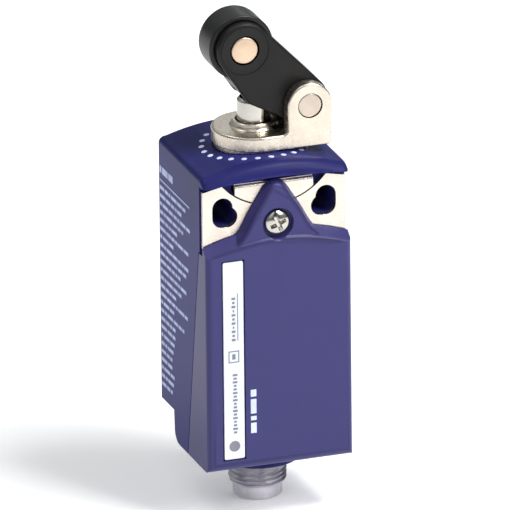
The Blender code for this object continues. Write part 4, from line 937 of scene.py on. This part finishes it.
# ---- lever and roller -------------------------------------------------------------------
def make_lever():
    pivot = (PIVOT.x, PIVOT.z)
    roller = (ROLLER.x, ROLLER.z)
    nose = (-2.0, CROWN + 10.6)
    outline = hull_of_circles([(pivot, LEVER_EYE), (roller, LEVER_END), (nose, LEVER_NOSE)], 32)
    soft = 0.55
    lever = new_object("lever_moulding",
                       prism(outline, -LEVER_HALF, LEVER_HALF, "Y", soft, soft, 6))
    slot_half = ROLLER_HALF + GAP
    roller_centre = (ROLLER.x, 0, ROLLER.z)
    cut(lever, rod(ROLLER_RADIUS + 0.6, -slot_half, slot_half, "Y", roller_centre, 96))
    nib_low = PLUNGER_HIGH.z + GAP
    edge = PLUNGER_RADIUS + GAP
    space = [(-4 * edge, CROWN), (edge, CROWN), (edge, nib_low + 0.6)]
    space += arc((0, nib_low + NIB_RADIUS), NIB_RADIUS, -30, -150, 24)
    space += [(-edge, nib_low + 1.5), (-4 * edge, nib_low + 4.2)]
    cut(lever, prism(space, -edge, edge, "Y"))
    for centre, bore in (((PIVOT.x, 0, PIVOT.z), LEVER_BORE), (roller_centre, ROLLER_BORE)):
        cut(lever, rod(bore, -9, 9, "Y", centre, 61))
    for side in (-1, 1):
        face = side * LEVER_HALF
        lip = side * (LEVER_HALF - 0.12)
        ring = [(4.9, lip), (5.15, lip), (5.15, face + side), (4.9, face + side)]
        cut(lever, turned(ring, "Y", roller_centre, 89))
    mend(lever)
    place(lever, "lever", FINISHES["lever_moulding"], ["roller_lever"], 32)
    half = LEVER_HALF
    radius = LEVER_BORE
    profile = soft_profile([(0, -half), (radius, -half), (radius, half), (0, half)], 0.35)
    pin = new_object("roller_rivet", turned(profile, "Y", roller_centre))
    place(pin, "lever", FINISHES["pin_steel"], ["roller_pin"])
    half = ROLLER_HALF
    rim = ROLLER_RADIUS
    bore = ROLLER_BORE
    groove = half - 0.15
    profile = soft_profile([(bore, -half), (4.6, -half), (4.8, -groove), (5.6, -groove),
                            (5.8, -half), (rim, -half), (rim, half), (5.8, half),
                            (5.6, groove), (4.8, groove), (4.6, half), (bore, half)], 0.6)
    wheel = new_object("roller_wheel", turned(profile, "Y", roller_centre, 128))
    place(wheel, "roller", FINISHES["roller_moulding"], ["roller"])


# ---- connector --------------------------------------------------------------------------
def make_connector():
    """The shell with its real 1 mm pitch thread, on a plain core that closes it inside."""
    foot = SHELL_LOW.z
    collar_top = foot + 2.5
    steps = 72
    per_turn = 10
    core = THREAD_RADIUS - 0.02
    crest, flank = 0.08, 0.84
    run_in, relief = 0.8, 0.68
    bm = bmesh.new()
    rings = []

    def level(radius, height):
        rings.append([bm.verts.new((radius * math.cos(2 * math.pi * k / steps),
                                    radius * math.sin(2 * math.pi * k / steps), height))
                      for k in range(steps)])

    for radius, height in ((4.2, foot), (4.35, foot), (4.8, foot), (5.0, foot + 0.2),
                           (5.0, collar_top - 0.02), (5.3, collar_top)):
        level(radius, height)
    thread_top = SHELL_HIGH.z
    length = thread_top - collar_top
    count = round(length / THREAD_PITCH * per_turn)
    for index in range(1, count):
        height = collar_top + length * index / count
        ease = min(1.0, (height - collar_top) / run_in)
        ring = []
        for k in range(steps):
            phase = (height / THREAD_PITCH - k / steps) % 1.0
            wave = abs(2 * phase - 1)
            shape = min(1.0, max(0.0, (wave - crest) / flank))
            radius = core - THREAD_DEPTH * shape - (1 - ease) * (relief - THREAD_DEPTH * shape)
            angle = 2 * math.pi * k / steps
            ring.append(bm.verts.new((radius * math.cos(angle), radius * math.sin(angle), height)))
        rings.append(ring)
    seat = foot + 7.5
    for radius, height in ((5.4, thread_top), (4.7, thread_top), (4.7, seat), (4.2, seat)):
        level(radius, height)
    bridge(bm, rings + rings[:1])
    bmesh.ops.recalc_face_normals(bm, faces=bm.faces)
    shell = new_object("connector_body", bm)
    inner, outer, upper = THREAD_RADIUS - 0.9, 7.2, -1.5
    flange = [(inner, BOSS_FOOT), (outer, BOSS_FOOT), (outer, upper), (inner, upper)]
    add(shell, turned(flange, steps=steps))
    place(shell, "housing", FINISHES["nickel_shell"], ["connector_shell"], 40)


# ---- printed marks ----------------------------------------------------------------------
def make_dots():
    """Index dots on the roof, evenly spaced about the head's axis."""
    dots = []
    for step in range(DOT_COUNT):
        angle = math.radians(360 // DOT_COUNT * step)
        centre = (DOT_RING * math.cos(angle), DOT_RING * math.sin(angle))
        bm = bmesh.new()
        rings = []
        for radius, lift in ((0.58, -0.2), (0.58, MARK_LIFT), (0.5, 2 * MARK_LIFT)):
            rings.append([bm.verts.new((a, b, roof_height(a) + lift))
                          for a, b in circle(centre, radius, 20)])
        dots.append(close_ends(bm, rings))
    place(join("index_dots", dots), "housing", DOTS)


PRINT_TOP, PRINT_FOOT, PRINT_ROWS = 55.5, 9.5, 27
LONG_ROWS = 18
ROW_SHARES = (0.45, 0.85, 0.8, 0.62, 0.86, 0.74, 0.5, 0.9)
ROW_HEIGHTS = {0: 1.5, 1: 0.3}


def make_side_print():
    """Generic rows of short bars on the left side: a heading, a rule, then plain rows."""
    words = []
    x_range = (-HALF_WIDTH - MARK_LIFT, -HALF_WIDTH + 0.1)
    end = BACK - 1.6
    for row in range(PRINT_ROWS):
        z = PRINT_TOP - (PRINT_TOP - PRINT_FOOT) * row / (PRINT_ROWS - 1)
        height = ROW_HEIGHTS.get(row, 0.75)
        depth = end - (seam_y(min(z, CEILING)) + 2.2)
        share = ROW_SHARES[row % len(ROW_SHARES)] if row < LONG_ROWS else 0.5
        step = 0
        reach = 0.0
        while reach < share * depth - 1.2:
            word = 1.1 + ((row * 5 + step * 3) % 4) * 0.75 if row != 1 else share * depth
            word = min(word, share * depth - reach)
            words.append(box(x_range, (end - reach - word, end - reach), (z, z + height)))
            reach += word + 0.45
            step += 1
    place(join("side_print", words), "housing", PRINT)


make_housing()
make_cover()
make_label()
make_cover_screw()
make_front_plate()
make_head_lock()
make_head()
make_plunger()
make_lever()
make_connector()
make_dots()
make_side_print()

# ---- carried-over CAD nodes -------------------------------------------------------------
SLOTS = {entry["node"]: entry["material_slot"] for entry in frame["record"]["subparts"]}
for name, node in frame["nodes"].items():
    if not node.hide_render:
        node.data.materials.clear()
        node.data.materials.append(FINISHES[SLOTS[name]])

# ---- floor, light and camera ------------------------------------------------------------
FLOOR_REACH = 3
FLOOR_DROP = 0.0002
FLOOR_GLOW = 0.15
SKY_LOW = (0.2, 0.23, 0.24, 1)
SKY_HIGH = (1, 1, 1, 1)
SKY_STRENGTH = 1.15
FLAG_BEHIND = (0.25, 0.28, 0.3, 1)
FLAG_LEVELS = ((0.08, 0.15), (0.14, 1.0), (0.2, 1.0), (0.24, 0.08), (0.29, 0.08), (0.33, 1.1),
               (0.42, 1.1), (0.47, 0.1), (0.6, 0.1), (0.7, 0.8), (0.9, 0.7))

bm = bmesh.new()
bmesh.ops.create_grid(bm, x_segments=8, y_segments=8, size=FLOOR_REACH)
bmesh.ops.translate(bm, verts=bm.verts, vec=(0, 0, SHELL_LOW.z * MM + ORIGIN.z - FLOOR_DROP))
floor = new_object("studio_floor", bm)
floor.data.materials.append(finish("pale_floor", linear(252, 252, 252), 0.6, PLASTIC, 0.01, 0.03,
                                   patch=3.0, grain=300.0, bump=0.02))
glow = floor.data.materials[0].node_tree.nodes["Principled BSDF"]
glow.inputs["Emission Color"].default_value = (1, 1, 1, 1)
glow.inputs["Emission Strength"].default_value = FLOOR_GLOW


def area_light(name, size, power, position):
    """A soft rectangular lamp aimed at the origin and hidden from the camera."""
    data = bpy.data.lights.new(name, "AREA")
    data.shape = "RECTANGLE"
    data.size, data.size_y = size
    data.energy = power
    lamp = bpy.data.objects.new(name, data)
    bpy.context.collection.objects.link(lamp)
    lamp.location = position
    lamp.visible_camera = False
    lamp.rotation_euler = (-Vector(position)).to_track_quat("-Z", "Y").to_euler()


area_light("key", (0.45, 0.45), 7.5, (0.6, -0.75, 0.7))
area_light("fill", (0.35, 0.9), 0.3, (-0.95, -0.45, 0.3))
area_light("brow", (0.45, 0.16), 8, (0.42, -0.42, 1.0))
area_light("top", (0.5, 0.4), 1.5, (-0.4, 0.2, 0.9))
area_light("rim", (0.4, 0.5), 1.0, (0.5, 0.8, 0.6))

world = bpy.data.worlds.new("studio")
world.use_nodes = True
world_nodes = world.node_tree.nodes
world_links = world.node_tree.links
direction = world_nodes.new("ShaderNodeTexCoord").outputs["Generated"]
height = world_nodes.new("ShaderNodeSeparateXYZ")
world_links.new(direction, height.inputs["Vector"])
sky = ramp(world_nodes, world_links, height.outputs["Z"], SKY_LOW, SKY_HIGH, 0.15, 0.95)
# dark flags stand round the object: each has its place, as a share of a turn, and its level
compass = world_nodes.new("ShaderNodeTexGradient")
compass.gradient_type = "RADIAL"
world_links.new(direction, compass.inputs["Vector"])
flags = world_nodes.new("ShaderNodeValToRGB")
bands = flags.color_ramp
for band, place_round in zip(bands.elements, (0.0, 1.0)):
    band.position = place_round
    band.color = FLAG_BEHIND
for place_round, level in FLAG_LEVELS:
    band = bands.elements.new(place_round)
    band.color = (level, level, level, 1)
world_links.new(compass.outputs["Fac"], flags.inputs["Fac"])
lit = world_nodes.new("ShaderNodeMix")
lit.data_type = "RGBA"
lit.blend_type = "MULTIPLY"
lit.inputs["Factor"].default_value = 1.0
world_links.new(sky, lit.inputs["A"])
world_links.new(flags.outputs["Color"], lit.inputs["B"])
world_links.new(lit.outputs["Result"], world_nodes["Background"].inputs["Color"])
world_nodes["Background"].inputs["Strength"].default_value = SKY_STRENGTH
bpy.context.scene.world = world
bpy.context.scene.view_settings.view_transform = "Standard"

AZIMUTH = math.radians(19.2)
ELEVATION = math.radians(20.8)
DISTANCE = 4.0
LENS = 1400.0
SENSOR_WIDTH = 36
AIM_HEIGHT = 40.1
ROLL = math.radians(0.6)
aim = ORIGIN + Vector((0, 0, AIM_HEIGHT)) * MM
sight = Vector((math.sin(AZIMUTH) * math.cos(ELEVATION), math.cos(AZIMUTH) * math.cos(ELEVATION),
                -math.sin(ELEVATION)))
camera_data = bpy.data.cameras.new("camera")
camera_data.lens = LENS
camera_data.sensor_width = SENSOR_WIDTH
camera = bpy.data.objects.new("camera", camera_data)
camera.location = aim - sight * DISTANCE
upright = sight.to_track_quat("-Z", "Y")
camera.rotation_euler = (Quaternion(sight, ROLL) @ upright).to_euler()
bpy.context.collection.objects.link(camera)
bpy.context.scene.camera = camera
